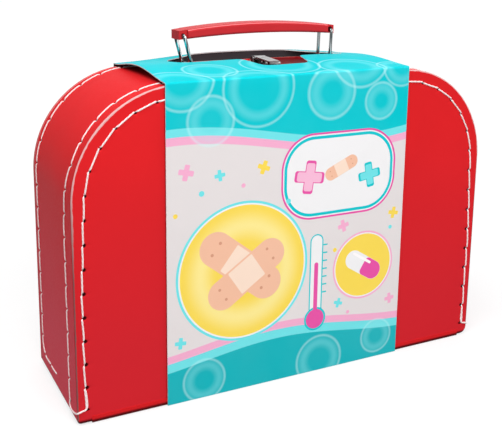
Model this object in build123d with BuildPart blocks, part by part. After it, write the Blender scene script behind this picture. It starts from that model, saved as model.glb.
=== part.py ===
"""Toy doctor case: a stitched card suitcase with a drop handle, a latch and a card sleeve.

Frame: +Z up, +X along the case, the front face looks towards -Y.
The origin is the centre of the resting face, on the ground under the sleeve.
The case is two shells. The base has the back panel, an inner wall and the bottom.
The lid has the front panel and a full-depth outer wall that slips over the inner wall,
and it turns down to the front about the lower front edge.
"""
from build123d import *
from math import acos, atan2, cos, degrees, hypot, pi, radians, sin
import os

os.makedirs("parts", exist_ok=True)

# ---- driving dimensions, millimetres ----
case_length = 294.0
case_height = 200.0
case_depth = 92.0
corner_radius = 66.0        # the two large upper corners
foot_radius = 5.0           # the two small lower corners
panel_thickness = 2.0       # front and back boards
outer_wall_thickness = 2.0
inner_wall_thickness = 1.6
bottom_thickness = 2.0
wall_gap = 1.6              # between the lid's outer wall and the base's inner wall
running_gap = 0.3           # between pieces that part when the lid opens

strip_thickness = 0.8       # folded angle strips inside the sewn edges
strip_depth = 18.0
strip_flange = 10.0
strip_gap = 1.0             # between the lid's strip and the inner wall
lining_thickness = 0.3
hinge_cloth_thickness = 0.4
hinge_cloth_leaf = 15.0     # under the bottom
hinge_cloth_rise = 4.0      # up the front panel

stitch_pitch = 14.8
stitch_gap = 1.6
stitch_cut = 9.0            # length of the cutter across a row, at each stitch hole
thread_width = 1.1
thread_height = 0.8
hidden_thread_height = 0.6
face_stitch_inset = 6.5
wall_stitch_setback = 16.0
rim_stitch_setback = 10.0
stitch_foot = 8.0           # lowest stitch above the case's bottom
hem_stitch_height = 10.0    # the rim's stitches turn forwards this high above the bottom
hem_stitch_count = 3

sleeve_thickness = 0.6
sleeve_length = 172.0
sleeve_shift = -3.5
sleeve_gap = 1.0            # between the case and the sleeve, front and back
sleeve_rise_front = 2.2     # underside of the sleeve's top above the case
sleeve_rise_back = 4.0
slot_shift = 2.1            # from the handle's middle
slot_wire_gap = 0.6         # in front of the links
slot_tip_shift = 2.0        # the slot's pointed ends, behind the handle's line
slot_tip_reach = 15.6       # beyond each bracket
slot_front_reach = 10.6
slot_back_half = 31.0
notch_shift = 2.0           # from the latch's middle
notch_finger_room = 15.0    # in front of the latch's curl
notch_half_width = 22.0
notch_front_half = 18.0
notch_corner_radius = 6.0

handle_x = 2.4
handle_setback = 29.0       # from the case's back face to the handle's line
bracket_spacing = 104.8
grip_pivot_extra = 6.2      # of the grip's pivot spacing over the brackets'
link_length = 21.5
link_lean = -15.0           # left link at rest, degrees from upright
link_width = 16.4
wire_radius = 1.2
wire_bend_radius = 1.8
grip_overhang = 3.0         # beyond each pivot
grip_width = 17.0
grip_end_height = 5.8
grip_top_rise = 3.8
grip_underside_rise = 2.6
grip_edge_round = 1.6
grip_bore_gap = 0.05
grip_slack = 0.8            # the right bore is wide, so that the links can swing
notch_wire_gap = 0.7
notch_reach = 2.8           # of each corner notch, inwards from the link's pivot
bracket_thickness = 0.8
bracket_width = 9.0
bracket_foot = 7.6
bracket_rivet_offset = 4.9
bracket_wire_gap = 0.1
backing_thickness = 0.5

rivet_radius = 1.2
rivet_hole_gap = 0.05
rivet_head_radius = 2.3
rivet_head_height = 0.8
rivet_head_taper = 35
rivet_tail_radius = 2.0
rivet_tail_height = 0.5

latch_x = 5.0
latch_setback = 24.0        # from the case's back face to the latch's pin
latch_pin_height = 3.2
latch_pin_radius = 1.0
latch_pin_gap = 0.05
latch_reach = 23.0
latch_strap_width = 8.0
latch_strap_thickness = 0.9
latch_roll_radius = 1.9
latch_curl_height = 2.2     # centre of the finger curl above the case
latch_ear_thickness = 0.9
latch_ear_gap = 0.3
latch_ear_radius = 1.9
latch_plate_thickness = 0.8
latch_plate_reach = 10.0    # in front of the pin
latch_plate_half_width = 10.8
latch_rivet_offset = 8.0
latch_rivet_reach = 6.5
strike_half_width = 3.5
strike_thickness = 0.8
strike_gap = 0.5            # between the latch's knuckle and the strike
strike_height = 2.8
strike_plate_length = 12.0
strike_rivet_spacing = 5.4
strike_window_gap = 0.8

# ---- worked out ----
half_length = case_length / 2
half_depth = case_depth / 2
case_bottom = sleeve_thickness + hinge_cloth_thickness
case_top = case_bottom + case_height
front_inner = -half_depth + panel_thickness
back_inner = half_depth - panel_thickness
inner_wall_inset = outer_wall_thickness + wall_gap
room_inset = inner_wall_inset + inner_wall_thickness
bottom_top = case_bottom + bottom_thickness
sleeve_face = half_depth + sleeve_gap + sleeve_thickness
sleeve_left = sleeve_shift - sleeve_length / 2
handle_y = half_depth - handle_setback
grip_pivot_spacing = bracket_spacing + grip_pivot_extra
grip_length = grip_pivot_spacing + 2 * grip_overhang
left_foot_x = handle_x - bracket_spacing / 2
right_foot_x = handle_x + bracket_spacing / 2
handle_rivet_points = [
    (foot_x + side * bracket_rivet_offset, handle_y)
    for foot_x in (left_foot_x, right_foot_x)
    for side in (-1, 1)
]
latch_pin_y = half_depth - latch_setback
latch_rivet_y = latch_pin_y - latch_rivet_reach
latch_rivet_points = [(latch_x + side * latch_rivet_offset, latch_rivet_y) for side in (-1, 1)]
inner_top = case_top - inner_wall_inset
strike_tail_top = inner_top - inner_wall_thickness - strip_thickness
strike_front = latch_pin_y + latch_roll_radius + strike_gap
strike_plate_back = strike_front + strike_plate_length
strike_rivet_y = strike_front + strike_thickness + rivet_head_radius + running_gap
strike_rivet_points = [(latch_x, strike_rivet_y), (latch_x, strike_rivet_y + strike_rivet_spacing)]


def depth_plane(y):
    """The XZ plane at depth y: a positive extrusion runs towards the front."""
    return Plane.XZ.offset(-y)


def side_plane(x):
    """The YZ plane at x: a positive extrusion runs towards +X."""
    return Plane.YZ.offset(x)


def arch(inset, bottom, foot=0.0):
    """A face: the case's outline drawn in by inset, and cut straight at the height bottom."""
    side = half_length - inset
    top = case_top - inset
    radius = corner_radius - inset
    with BuildLine() as edge:
        Line((-side, bottom + foot), (-side, top - radius))
        CenterArc((-side + radius, top - radius), radius, 180, -90)
        Line((-side + radius, top), (side - radius, top))
        CenterArc((side - radius, top - radius), radius, 90, -90)
        Line((side, top - radius), (side, bottom + foot))
        if foot > 0:
            CenterArc((side - foot, bottom + foot), foot, 0, -90)
            CenterArc((-side + foot, bottom + foot), foot, -90, -90)
        Line((side - foot, bottom), (-side + foot, bottom))
    make_face(edge.edges())


def arch_band(outer_inset, inner_inset, bottom):
    """A face: the band between two insets of the outline, open below."""
    arch(outer_inset, bottom)
    with BuildSketch(mode=Mode.PRIVATE) as inside:
        arch(inner_inset, bottom)
    add(inside.sketch, mode=Mode.SUBTRACT)


def arch_length(inset, bottom):
    """Length of the outline at an inset, from foot to foot."""
    upright = case_top - corner_radius - bottom
    straight = case_length - 2 * corner_radius
    return 2 * upright + straight + pi * (corner_radius - inset)


def arch_station(inset, bottom, distance):
    """Point (x, z) and direction in degrees at a distance along the outline from its left foot."""
    upright = case_top - corner_radius - bottom
    radius = corner_radius - inset
    quarter = radius * pi / 2
    straight = case_length - 2 * corner_radius
    center_x = half_length - corner_radius
    center_z = case_top - corner_radius
    if distance <= upright:
        return -half_length + inset, bottom + distance, 90.0
    distance -= upright
    if distance <= quarter:
        turn = distance / radius
        return -center_x - radius * cos(turn), center_z + radius * sin(turn), 90 - degrees(turn)
    distance -= quarter
    if distance <= straight:
        return -center_x + distance, case_top - inset, 0.0
    distance -= straight
    if distance <= quarter:
        turn = distance / radius
        return center_x + radius * sin(turn), center_z + radius * cos(turn), -degrees(turn)
    distance -= quarter
    return half_length - inset, center_z - distance, -90.0


def stitch_row(outer_inset, inner_inset, back, width):
    """A row of thread stitches along the outline: a thin band cut through at each stitch hole."""
    middle = (outer_inset + inner_inset) / 2
    bottom = case_bottom + stitch_foot
    with BuildSketch(depth_plane(back)) as band:
        arch_band(outer_inset, inner_inset, bottom)
    extrude(band.sketch, amount=width)
    count = round(arch_length(middle, bottom) / stitch_pitch)
    step = arch_length(middle, bottom) / count
    for index in range(1, count):
        x, z, angle = arch_station(middle, bottom, index * step)
        with Locations(Location((x, back - width / 2, z), (0, -angle, 0))):
            Box(stitch_gap, 2 * width, stitch_cut, mode=Mode.SUBTRACT)


def rivets(points, head_bottom, tail_top):
    """Rivets along Z at the points, with low round heads above and flat tails below."""
    with BuildSketch(Plane.XY.offset(tail_top)) as shank:
        with Locations(*points):
            Circle(rivet_radius)
    extrude(shank.sketch, amount=head_bottom - tail_top)
    with BuildSketch(Plane.XY.offset(head_bottom)) as head:
        with Locations(*points):
            Circle(rivet_head_radius)
    extrude(head.sketch, amount=rivet_head_height, taper=rivet_head_taper)
    with BuildSketch(Plane.XY.offset(tail_top)) as tail:
        with Locations(*points):
            Circle(rivet_tail_radius)
    extrude(tail.sketch, amount=-rivet_tail_height)


# ---- base: back panel, inner wall, bottom, folded strip and lining ----
with BuildPart() as back_panel:
    with BuildSketch(depth_plane(half_depth)):
        arch(0, case_bottom, foot_radius)
    extrude(amount=panel_thickness)

inner_wall_front = front_inner + strip_depth + strip_gap
with BuildPart() as inner_wall:
    with BuildSketch(depth_plane(back_inner)):
        arch_band(inner_wall_inset, room_inset, bottom_top)
    extrude(amount=back_inner - inner_wall_front)
    with BuildSketch(Plane.XY.offset(inner_top)):
        with Locations(*strike_rivet_points):
            Circle(rivet_radius + rivet_hole_gap)
    extrude(amount=-inner_wall_thickness, mode=Mode.SUBTRACT)

with BuildPart() as bottom_board:
    with BuildSketch(Plane.XY.offset(case_bottom)):
        with Locations((0, (front_inner + running_gap + back_inner) / 2)):
            Rectangle(case_length - 2 * inner_wall_inset, back_inner - front_inner - running_gap)
    extrude(amount=bottom_thickness)

with BuildPart() as back_corner_strip:
    with BuildSketch(depth_plane(back_inner)):
        arch_band(room_inset, room_inset + strip_thickness, bottom_top)
    extrude(amount=strip_depth)
    with BuildSketch(depth_plane(back_inner)):
        arch_band(room_inset, room_inset + strip_flange, bottom_top)
    extrude(amount=strip_thickness)
    with BuildSketch(Plane.XY.offset(strike_tail_top)):
        with Locations(*strike_rivet_points):
            Circle(rivet_radius + rivet_hole_gap)
    extrude(amount=strip_thickness, mode=Mode.SUBTRACT)

with BuildPart() as back_lining:
    with BuildSketch(depth_plane(back_inner)):
        arch(room_inset + strip_flange + running_gap, bottom_top + running_gap)
    extrude(amount=lining_thickness)

# ---- lid: front panel, outer wall, folded strip and lining ----
with BuildPart() as front_panel:
    with BuildSketch(depth_plane(front_inner)):
        arch(0, case_bottom, foot_radius)
    extrude(amount=panel_thickness)

window_front = strike_front - strike_window_gap
window_half_width = strike_half_width + strike_window_gap
wall_foot_half = half_length - inner_wall_inset + hidden_thread_height + running_gap
with BuildPart() as outer_wall:
    with BuildSketch(depth_plane(back_inner - running_gap)):
        arch(0, case_bottom, foot_radius)
        with BuildSketch(mode=Mode.PRIVATE) as inside:
            wall_inner_bottom = case_bottom + outer_wall_thickness
            arch(outer_wall_thickness, wall_inner_bottom, foot_radius - outer_wall_thickness)
        add(inside.sketch, mode=Mode.SUBTRACT)
        with Locations((0, case_bottom)):
            Rectangle(2 * wall_foot_half, 4 * outer_wall_thickness, mode=Mode.SUBTRACT)
    extrude(amount=back_inner - running_gap - front_inner)
    with BuildSketch(Plane.XY.offset(case_top - wall_gap - outer_wall_thickness)):
        with Locations((latch_x, (window_front + half_depth) / 2)):
            Rectangle(2 * window_half_width, half_depth - window_front)
    extrude(amount=2 * outer_wall_thickness, mode=Mode.SUBTRACT)
    with BuildSketch(Plane.XY.offset(case_top)):
        with Locations(*handle_rivet_points, *latch_rivet_points):
            Circle(rivet_radius + rivet_hole_gap)
    extrude(amount=-outer_wall_thickness, mode=Mode.SUBTRACT)

lid_strip_bottom = case_bottom + foot_radius + running_gap
with BuildPart() as front_corner_strip:
    with BuildSketch(depth_plane(front_inner + strip_depth)):
        arch_band(outer_wall_thickness, outer_wall_thickness + strip_thickness, lid_strip_bottom)
    extrude(amount=strip_depth)
    with BuildSketch(depth_plane(front_inner + strip_thickness)):
        arch_band(outer_wall_thickness, outer_wall_thickness + strip_flange, lid_strip_bottom)
    extrude(amount=strip_thickness)

with BuildPart() as lid_lining:
    with BuildSketch(depth_plane(front_inner + lining_thickness)):
        arch(outer_wall_thickness + strip_flange + running_gap, bottom_top + running_gap)
    extrude(amount=lining_thickness)

# ---- sewing thread: one row on each panel, one on each wall, and the lid's rim ----
face_row_out = face_stitch_inset - thread_width / 2
face_row_in = face_stitch_inset + thread_width / 2

with BuildPart() as front_face_stitches:
    stitch_row(face_row_out, face_row_in, -half_depth, thread_height)

with BuildPart() as back_face_stitches:
    stitch_row(face_row_out, face_row_in, half_depth + thread_height, thread_height)

with BuildPart() as front_wall_stitches:
    stitch_row(-thread_height, 0, -half_depth + wall_stitch_setback + thread_width / 2, thread_width)

with BuildPart() as back_wall_stitches:
    hidden_row_out = inner_wall_inset - hidden_thread_height
    hidden_row_back = half_depth - wall_stitch_setback
    stitch_row(hidden_row_out, inner_wall_inset, hidden_row_back, thread_width)
    with Locations((latch_x, hidden_row_back, inner_top)):
        Box(2 * window_half_width, 4 * thread_width, 4 * thread_height, mode=Mode.SUBTRACT)

with BuildPart() as rim_stitches:
    rim_row_back = half_depth - rim_stitch_setback + thread_width / 2
    stitch_row(-thread_height, 0, rim_row_back, thread_width)
    with Locations((latch_x, rim_row_back, case_top)):
        Box(2 * window_half_width + thread_width, 4 * thread_width, 4 * thread_height, mode=Mode.SUBTRACT)
    hem_bar = stitch_pitch - stitch_gap
    for side in (-1, 1):
        for index in range(hem_stitch_count):
            bar_y = rim_row_back - thread_width - (index + 0.5) * stitch_pitch
            bar_z = case_bottom + hem_stitch_height
            with Locations((side * (half_length + thread_height / 2), bar_y, bar_z)):
                Box(thread_height, hem_bar, thread_width)

# ---- cloth hinge along the lower front edge, one leaf on each shell ----
hinge_cloth_half = half_length - face_stitch_inset - 2 * thread_width
with BuildPart() as hinge_cloth_base:
    with BuildSketch(Plane.XY.offset(case_bottom)):
        with Locations((0, -half_depth + hinge_cloth_leaf / 2)):
            Rectangle(2 * hinge_cloth_half, hinge_cloth_leaf)
    extrude(amount=-hinge_cloth_thickness)

with BuildPart() as hinge_cloth_lid:
    with BuildSketch(depth_plane(-half_depth)):
        with Locations((0, case_bottom - hinge_cloth_thickness + hinge_cloth_rise / 2)):
            Rectangle(2 * hinge_cloth_half, hinge_cloth_rise)
    extrude(amount=hinge_cloth_thickness)

# ---- handle: two wire links in riveted brackets, and a moulded grip ----
link_axis_z = case_top + wire_radius + bracket_wire_gap
left_top_x = left_foot_x + link_length * sin(radians(link_lean))
left_top_z = link_axis_z + link_length * cos(radians(link_lean))

# The right link's top is where the circle round its foot meets the circle round the left link's top.
span_x = right_foot_x - left_top_x
span_z = link_axis_z - left_top_z
span = hypot(span_x, span_z)
span_angle = atan2(span_z, span_x)
span_square = grip_pivot_spacing ** 2 + span ** 2 - link_length ** 2
grip_turn = acos(span_square / (2 * grip_pivot_spacing * span))
grip_angle = span_angle + grip_turn
right_top_x = left_top_x + grip_pivot_spacing * cos(grip_angle)
right_top_z = left_top_z + grip_pivot_spacing * sin(grip_angle)
right_lean = degrees(atan2(right_top_x - right_foot_x, right_top_z - link_axis_z))


def wire_link(foot_x, lean):
    """A closed wire link standing up from its foot bar, leaning towards +X by lean degrees."""
    tilt = radians(lean)
    lean_normal = (cos(tilt), 0, -sin(tilt))
    upright = Plane(origin=(foot_x, handle_y, link_axis_z), x_dir=(0, 1, 0), z_dir=lean_normal)
    loop = upright * Pos(0, link_length / 2) * RectangleRounded(link_width, link_length, wire_bend_radius)
    route = loop.face().outer_wire()
    with BuildPart() as link:
        with BuildSketch(Plane(origin=route @ 0, z_dir=route % 0)):
            Circle(wire_radius)
        sweep(path=route)
    return link


handle_link_left = wire_link(left_foot_x, link_lean)
handle_link_right = wire_link(right_foot_x, right_lean)

grip_middle = ((left_top_x + right_top_x) / 2, handle_y + grip_width / 2, (left_top_z + right_top_z) / 2)
grip_plane = Plane(origin=grip_middle, x_dir=(cos(grip_angle), 0, sin(grip_angle)), z_dir=(0, -1, 0))
grip_half = grip_length / 2
pivot_half = grip_pivot_spacing / 2
end_half = grip_end_height / 2
notch_length = grip_half - pivot_half + notch_reach
notch_depth = (grip_width - link_width) / 2 + wire_radius + notch_wire_gap
with BuildPart() as handle_grip:
    with BuildSketch(grip_plane):
        with BuildLine():
            ThreePointArc((-grip_half, end_half), (0, end_half + grip_top_rise), (grip_half, end_half))
            Line((grip_half, end_half), (grip_half, -end_half))
            underside_middle = (0, grip_underside_rise - end_half)
            ThreePointArc((grip_half, -end_half), underside_middle, (-grip_half, -end_half))
            Line((-grip_half, -end_half), (-grip_half, end_half))
        make_face()
    extrude(amount=grip_width)
    fillet(handle_grip.edges().filter_by(GeomType.CIRCLE), grip_edge_round)
    with BuildSketch(grip_plane):
        for side in (-1, 1):
            with Locations((side * (grip_half - notch_length / 2), 0)):
                Rectangle(notch_length, 2 * grip_end_height)
    extrude(amount=notch_depth, mode=Mode.SUBTRACT)
    with BuildSketch(grip_plane.offset(grip_width)):
        for side in (-1, 1):
            with Locations((side * (grip_half - notch_length / 2), 0)):
                Rectangle(notch_length, 2 * grip_end_height)
    extrude(amount=-notch_depth, mode=Mode.SUBTRACT)
    with BuildSketch(grip_plane):
        with Locations((-pivot_half, 0)):
            Circle(wire_radius + grip_bore_gap)
        with Locations((pivot_half, 0)):
            Circle(wire_radius + grip_slack)
    extrude(amount=grip_width, mode=Mode.SUBTRACT)


def bracket(foot_x):
    """A sheet strap over a link's foot bar, with a riveted flange on each side."""
    inner = wire_radius + bracket_wire_gap
    outer = inner + bracket_thickness
    with BuildPart() as strap:
        with BuildSketch(depth_plane(handle_y + bracket_width / 2)):
            with Locations((foot_x, case_top + bracket_thickness / 2)):
                Rectangle(2 * bracket_foot, bracket_thickness)
            with Locations((foot_x, link_axis_z)):
                Circle(outer)
            with Locations((foot_x, case_top - outer / 2)):
                Rectangle(3 * outer, outer, mode=Mode.SUBTRACT)
            with Locations((foot_x, case_top + inner / 2)):
                Rectangle(2 * outer, inner)
            with Locations((foot_x, link_axis_z)):
                Circle(inner, mode=Mode.SUBTRACT)
            with Locations((foot_x, case_top + inner / 2)):
                Rectangle(2 * inner, inner, mode=Mode.SUBTRACT)
        extrude(amount=bracket_width)
        with BuildSketch(Plane.XY.offset(case_top)):
            with Locations((foot_x, handle_y)):
                with Locations((-bracket_rivet_offset, 0), (bracket_rivet_offset, 0)):
                    Circle(rivet_radius + rivet_hole_gap)
        extrude(amount=bracket_thickness, mode=Mode.SUBTRACT)
    return strap


handle_bracket_left = bracket(left_foot_x)
handle_bracket_right = bracket(right_foot_x)

plate_underside = case_top - outer_wall_thickness - backing_thickness
with BuildPart() as handle_backing_plates:
    with BuildSketch(Plane.XY.offset(plate_underside)):
        with Locations((left_foot_x, handle_y), (right_foot_x, handle_y)):
            RectangleRounded(2 * bracket_foot, bracket_width, wire_bend_radius)
            with Locations((-bracket_rivet_offset, 0), (bracket_rivet_offset, 0)):
                Circle(rivet_radius + rivet_hole_gap, mode=Mode.SUBTRACT)
    extrude(amount=backing_thickness)

with BuildPart() as handle_rivets:
    rivets(handle_rivet_points, case_top + bracket_thickness, plate_underside)

# ---- latch: a plate with two ears on the lid, a lever with a finger curl, and the base's strike ----
latch_pin_z = case_top + latch_pin_height
latch_ear_offset = latch_strap_width / 2 + latch_ear_gap
latch_plate_front = latch_pin_y - latch_plate_reach
latch_plate_back = latch_pin_y + latch_pin_radius

with BuildPart() as latch_plate:
    with BuildSketch(Plane.XY.offset(case_top)):
        with Locations((latch_x, (latch_plate_front + latch_plate_back) / 2)):
            plate_depth = latch_plate_back - latch_plate_front
            RectangleRounded(2 * latch_plate_half_width, plate_depth, latch_pin_radius)
        with Locations(*latch_rivet_points):
            Circle(rivet_radius + rivet_hole_gap, mode=Mode.SUBTRACT)
    extrude(amount=latch_plate_thickness)
    ear_height = latch_pin_z - case_top
    for ear_left in (latch_x - latch_ear_offset - latch_ear_thickness, latch_x + latch_ear_offset):
        with BuildSketch(side_plane(ear_left)):
            with Locations((latch_pin_y, latch_pin_z)):
                Circle(latch_ear_radius)
            with Locations((latch_pin_y - latch_ear_radius / 2, latch_pin_z - ear_height / 2)):
                Rectangle(latch_ear_radius, ear_height)
            with Locations((latch_pin_y + latch_pin_radius / 2, latch_pin_z - ear_height / 2)):
                Rectangle(latch_pin_radius, ear_height)
            with Locations((latch_pin_y, latch_pin_z)):
                Circle(latch_pin_radius + latch_pin_gap, mode=Mode.SUBTRACT)
        extrude(amount=latch_ear_thickness)

with BuildPart() as latch_pin:
    pin_half = latch_ear_offset + latch_ear_thickness + latch_ear_gap
    with BuildSketch(side_plane(latch_x - pin_half)):
        with Locations((latch_pin_y, latch_pin_z)):
            Circle(latch_pin_radius)
    extrude(amount=2 * pin_half)

with BuildPart() as latch_lever:
    curl_y = latch_pin_y - latch_reach
    curl_z = case_top + latch_curl_height
    slope = atan2(latch_pin_z - curl_z, latch_reach)
    up_y = -sin(slope)
    up_z = cos(slope)
    strap_inner = latch_roll_radius - latch_strap_thickness
    with BuildSketch(side_plane(latch_x - latch_strap_width / 2)):
        with Locations((latch_pin_y, latch_pin_z), (curl_y, curl_z)):
            Circle(latch_roll_radius)
        with BuildLine():
            Polyline(
                (latch_pin_y + up_y * latch_roll_radius, latch_pin_z + up_z * latch_roll_radius),
                (curl_y + up_y * latch_roll_radius, curl_z + up_z * latch_roll_radius),
                (curl_y + up_y * strap_inner, curl_z + up_z * strap_inner),
                (latch_pin_y + up_y * strap_inner, latch_pin_z + up_z * strap_inner),
                close=True,
            )
        make_face()
        with Locations((latch_pin_y, latch_pin_z)):
            Circle(latch_pin_radius + latch_pin_gap, mode=Mode.SUBTRACT)
        with Locations((curl_y, curl_z)):
            Circle(strap_inner, mode=Mode.SUBTRACT)
    extrude(amount=latch_strap_width)

with BuildPart() as latch_rivets:
    rivets(latch_rivet_points, case_top + latch_plate_thickness, case_top - outer_wall_thickness)

with BuildPart() as latch_strike:
    with BuildSketch(Plane.XY.offset(inner_top)):
        with Locations((latch_x, (strike_front + strike_plate_back) / 2)):
            Rectangle(2 * strike_half_width, strike_plate_length)
        with Locations(*strike_rivet_points):
            Circle(rivet_radius + rivet_hole_gap, mode=Mode.SUBTRACT)
    extrude(amount=strike_thickness)
    with BuildSketch(Plane.XY.offset(inner_top)):
        with Locations((latch_x, strike_front + strike_thickness / 2)):
            Rectangle(2 * strike_half_width, strike_thickness)
    extrude(amount=inner_wall_inset + strike_height)

with BuildPart() as strike_rivets:
    rivets(strike_rivet_points, inner_top + strike_thickness, strike_tail_top)

# ---- printed card sleeve, slit at its glued seam: one leaf rides on each shell ----
sleeve_front_top = case_top + sleeve_rise_front + sleeve_thickness
sleeve_back_top = case_top + sleeve_rise_back + sleeve_thickness
top_leaf_back = sleeve_face - sleeve_thickness - running_gap
slot_x = handle_x + slot_shift
slot_front = handle_y - link_width / 2 - wire_radius - slot_wire_gap
slot_tip = handle_y + slot_tip_shift
slot_front_half = bracket_spacing / 2 + slot_front_reach
slot_half_length = bracket_spacing / 2 + slot_tip_reach
notch_x = latch_x + notch_shift
notch_front = latch_pin_y - latch_reach - notch_finger_room
with BuildPart() as sleeve_front:
    with BuildSketch(side_plane(sleeve_left)):
        with BuildLine():
            Polyline(
                (-sleeve_face, 0),
                (-sleeve_face, sleeve_front_top),
                (top_leaf_back, sleeve_back_top),
                (top_leaf_back, sleeve_back_top - sleeve_thickness),
                (-sleeve_face + sleeve_thickness, sleeve_front_top - sleeve_thickness),
                (-sleeve_face + sleeve_thickness, 0),
                close=True,
            )
        make_face()
    extrude(amount=sleeve_length)
    with BuildSketch(Plane.XY.offset(case_top)) as slot:
        with BuildLine():
            Polyline(
                (slot_x - slot_half_length, slot_tip),
                (slot_x - slot_front_half, slot_front),
                (notch_x - notch_half_width, slot_front),
                (notch_x - notch_front_half, notch_front),
                (notch_x + notch_front_half, notch_front),
                (notch_x + notch_half_width, slot_front),
                (slot_x + slot_front_half, slot_front),
                (slot_x + slot_half_length, slot_tip),
                (slot_x + slot_back_half, sleeve_face),
                (slot_x - slot_back_half, sleeve_face),
                close=True,
            )
        make_face()
        fillet(slot.vertices().group_by(Axis.Y)[0], notch_corner_radius)
    extrude(amount=2 * sleeve_rise_back, mode=Mode.SUBTRACT)

with BuildPart() as sleeve_back:
    with BuildSketch(side_plane(sleeve_left)):
        with BuildLine():
            Polyline(
                (-sleeve_face + sleeve_gap, 0),
                (sleeve_face, 0),
                (sleeve_face, sleeve_back_top),
                (sleeve_face - sleeve_thickness, sleeve_back_top),
                (sleeve_face - sleeve_thickness, sleeve_thickness),
                (-sleeve_face + sleeve_gap, sleeve_thickness),
                close=True,
            )
        make_face()
    extrude(amount=sleeve_length)

# ---- write one file for each piece ----
pieces = {
    "back_panel": back_panel,
    "inner_wall": inner_wall,
    "bottom_board": bottom_board,
    "back_corner_strip": back_corner_strip,
    "back_lining": back_lining,
    "back_face_stitches": back_face_stitches,
    "back_wall_stitches": back_wall_stitches,
    "hinge_cloth_base": hinge_cloth_base,
    "latch_strike": latch_strike,
    "strike_rivets": strike_rivets,
    "sleeve_back": sleeve_back,
    "front_panel": front_panel,
    "outer_wall": outer_wall,
    "front_corner_strip": front_corner_strip,
    "lid_lining": lid_lining,
    "front_face_stitches": front_face_stitches,
    "front_wall_stitches": front_wall_stitches,
    "rim_stitches": rim_stitches,
    "hinge_cloth_lid": hinge_cloth_lid,
    "handle_bracket_left": handle_bracket_left,
    "handle_bracket_right": handle_bracket_right,
    "handle_backing_plates": handle_backing_plates,
    "handle_rivets": handle_rivets,
    "latch_plate": latch_plate,
    "latch_pin": latch_pin,
    "latch_rivets": latch_rivets,
    "sleeve_front": sleeve_front,
    "handle_link_left": handle_link_left,
    "handle_link_right": handle_link_right,
    "handle_grip": handle_grip,
    "latch_lever": latch_lever,
}
for name, piece in pieces.items():
    piece.part.label = name
    export_step(piece.part, f"parts/{name}.step")
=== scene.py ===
"""Toy doctor case: a stitched card suitcase with a drop handle, a latch and a printed card sleeve.

Metres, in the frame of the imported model: +X along the case, the front looks towards -Y, +Z up.
The pieces follow in the order in which such a case is put together.
"""
import math

import bmesh
import bpy
import numpy as np
from mathutils import Matrix, Vector


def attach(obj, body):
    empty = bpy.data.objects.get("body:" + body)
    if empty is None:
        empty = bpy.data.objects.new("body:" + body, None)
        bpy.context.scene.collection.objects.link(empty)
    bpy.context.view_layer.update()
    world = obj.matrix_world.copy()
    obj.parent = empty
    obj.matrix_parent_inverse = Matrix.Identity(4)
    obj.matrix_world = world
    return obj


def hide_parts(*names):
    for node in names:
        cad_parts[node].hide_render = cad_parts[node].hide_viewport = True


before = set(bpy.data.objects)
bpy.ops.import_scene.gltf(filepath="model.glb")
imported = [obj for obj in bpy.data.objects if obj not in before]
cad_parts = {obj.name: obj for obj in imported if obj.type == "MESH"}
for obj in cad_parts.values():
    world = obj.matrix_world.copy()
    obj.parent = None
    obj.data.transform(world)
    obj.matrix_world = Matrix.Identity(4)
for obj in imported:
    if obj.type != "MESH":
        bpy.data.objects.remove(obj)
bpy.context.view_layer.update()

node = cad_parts

# ---- front board of the lid ----
# A D-shaped board of grey card, 2 mm thick, covered in glossy red paper. The awl leaves a row of
# puckered holes round its edge for the sewing thread, and the paper is worn along the edge.
HALF_LENGTH = 0.147
HALF_DEPTH = 0.046
CASE_BOTTOM = 0.001
CASE_TOP = 0.201
CORNER_RADIUS = 0.066
FOOT_RADII = (0.0022, 0.0050)
FOOT_RUN = 0.008
BOTTOM_RUN = 0.28
BOARD = 0.002
BOARD_EDGE_ROUND = 0.0007
BOARD_MIDDLE = 0.105
STITCH_PITCH = 0.0148
STITCH_FOOT = 0.008
FACE_STITCH_INSET = 0.0065
ROW_STEPS = np.array([-1.6, -1.1, -0.8, -0.5, -0.25, 0, 0.25, 0.5, 0.8, 1.1, 1.6]) * 1e-3
HOLE_SPREAD = 0.0011
PIT_RADIUS = 0.00105
PIT_DEPTH = 0.0009
PIT_ASIDE = 0.0008
CARD_RED = (0.72, 0.018, 0.022)
# Painted shade inside the stitch holes.
HOLE_SHADE_RED = (0.035, 0.002, 0.003)
# Painted shade: sewn board turns a duller red towards its foot, and on the end walls a purplish red as a
# painted reflection.
FOOT_SHADE_FACE = (0.63, 0.020, 0.029)
FOOT_SHADE_AND_REFLECTION_END = (0.69, 0.042, 0.074)
WORN_CARD = (0.74, 0.40, 0.40)
WORN_DARK = (0.26, 0.09, 0.09)
RAW_BOARD = (0.58, 0.52, 0.43)
# Painted contact shadow: a near-black red along the foot, up to a line a little above the floor.
CONTACT_SHADOW_RED = (0.030, 0.004, 0.005)
# Painted shadow: a deep red on the card round the latch, under the sleeve.
PAINTED_SHADOW_RED = (0.21, 0.006, 0.009)
FOOT_SHADE_HEIGHTS = (0.04, 0.16)
WEAR_HEIGHTS = (0.10, 0.15)
WORN_TONE_HEIGHTS = (0.09, 0.15)
CONTACT_SHADOW_LINE = (0.0023, 0.0036)
# Centre and radii of the painted shadow round the latch.
LATCH_SHADOW_CENTRE = (0.005, -0.004, 0.201)
LATCH_SHADOW_RADII = (0.052, 0.074)
CRISP_ANGLE = 50


def row_holes(inset):
    """Stations of a sewn row's holes, and the row's length: up from the foot, round a quarter circle, along
    the top, round and down, shared into equal stitches of about a pitch."""
    upright = CASE_TOP - CORNER_RADIUS - CASE_BOTTOM - STITCH_FOOT
    length = 2 * upright + 2 * (HALF_LENGTH - CORNER_RADIUS) + np.pi * (CORNER_RADIUS - inset)
    count = round(length / STITCH_PITCH)
    return np.arange(0, count + 1) * length / count, length


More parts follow.
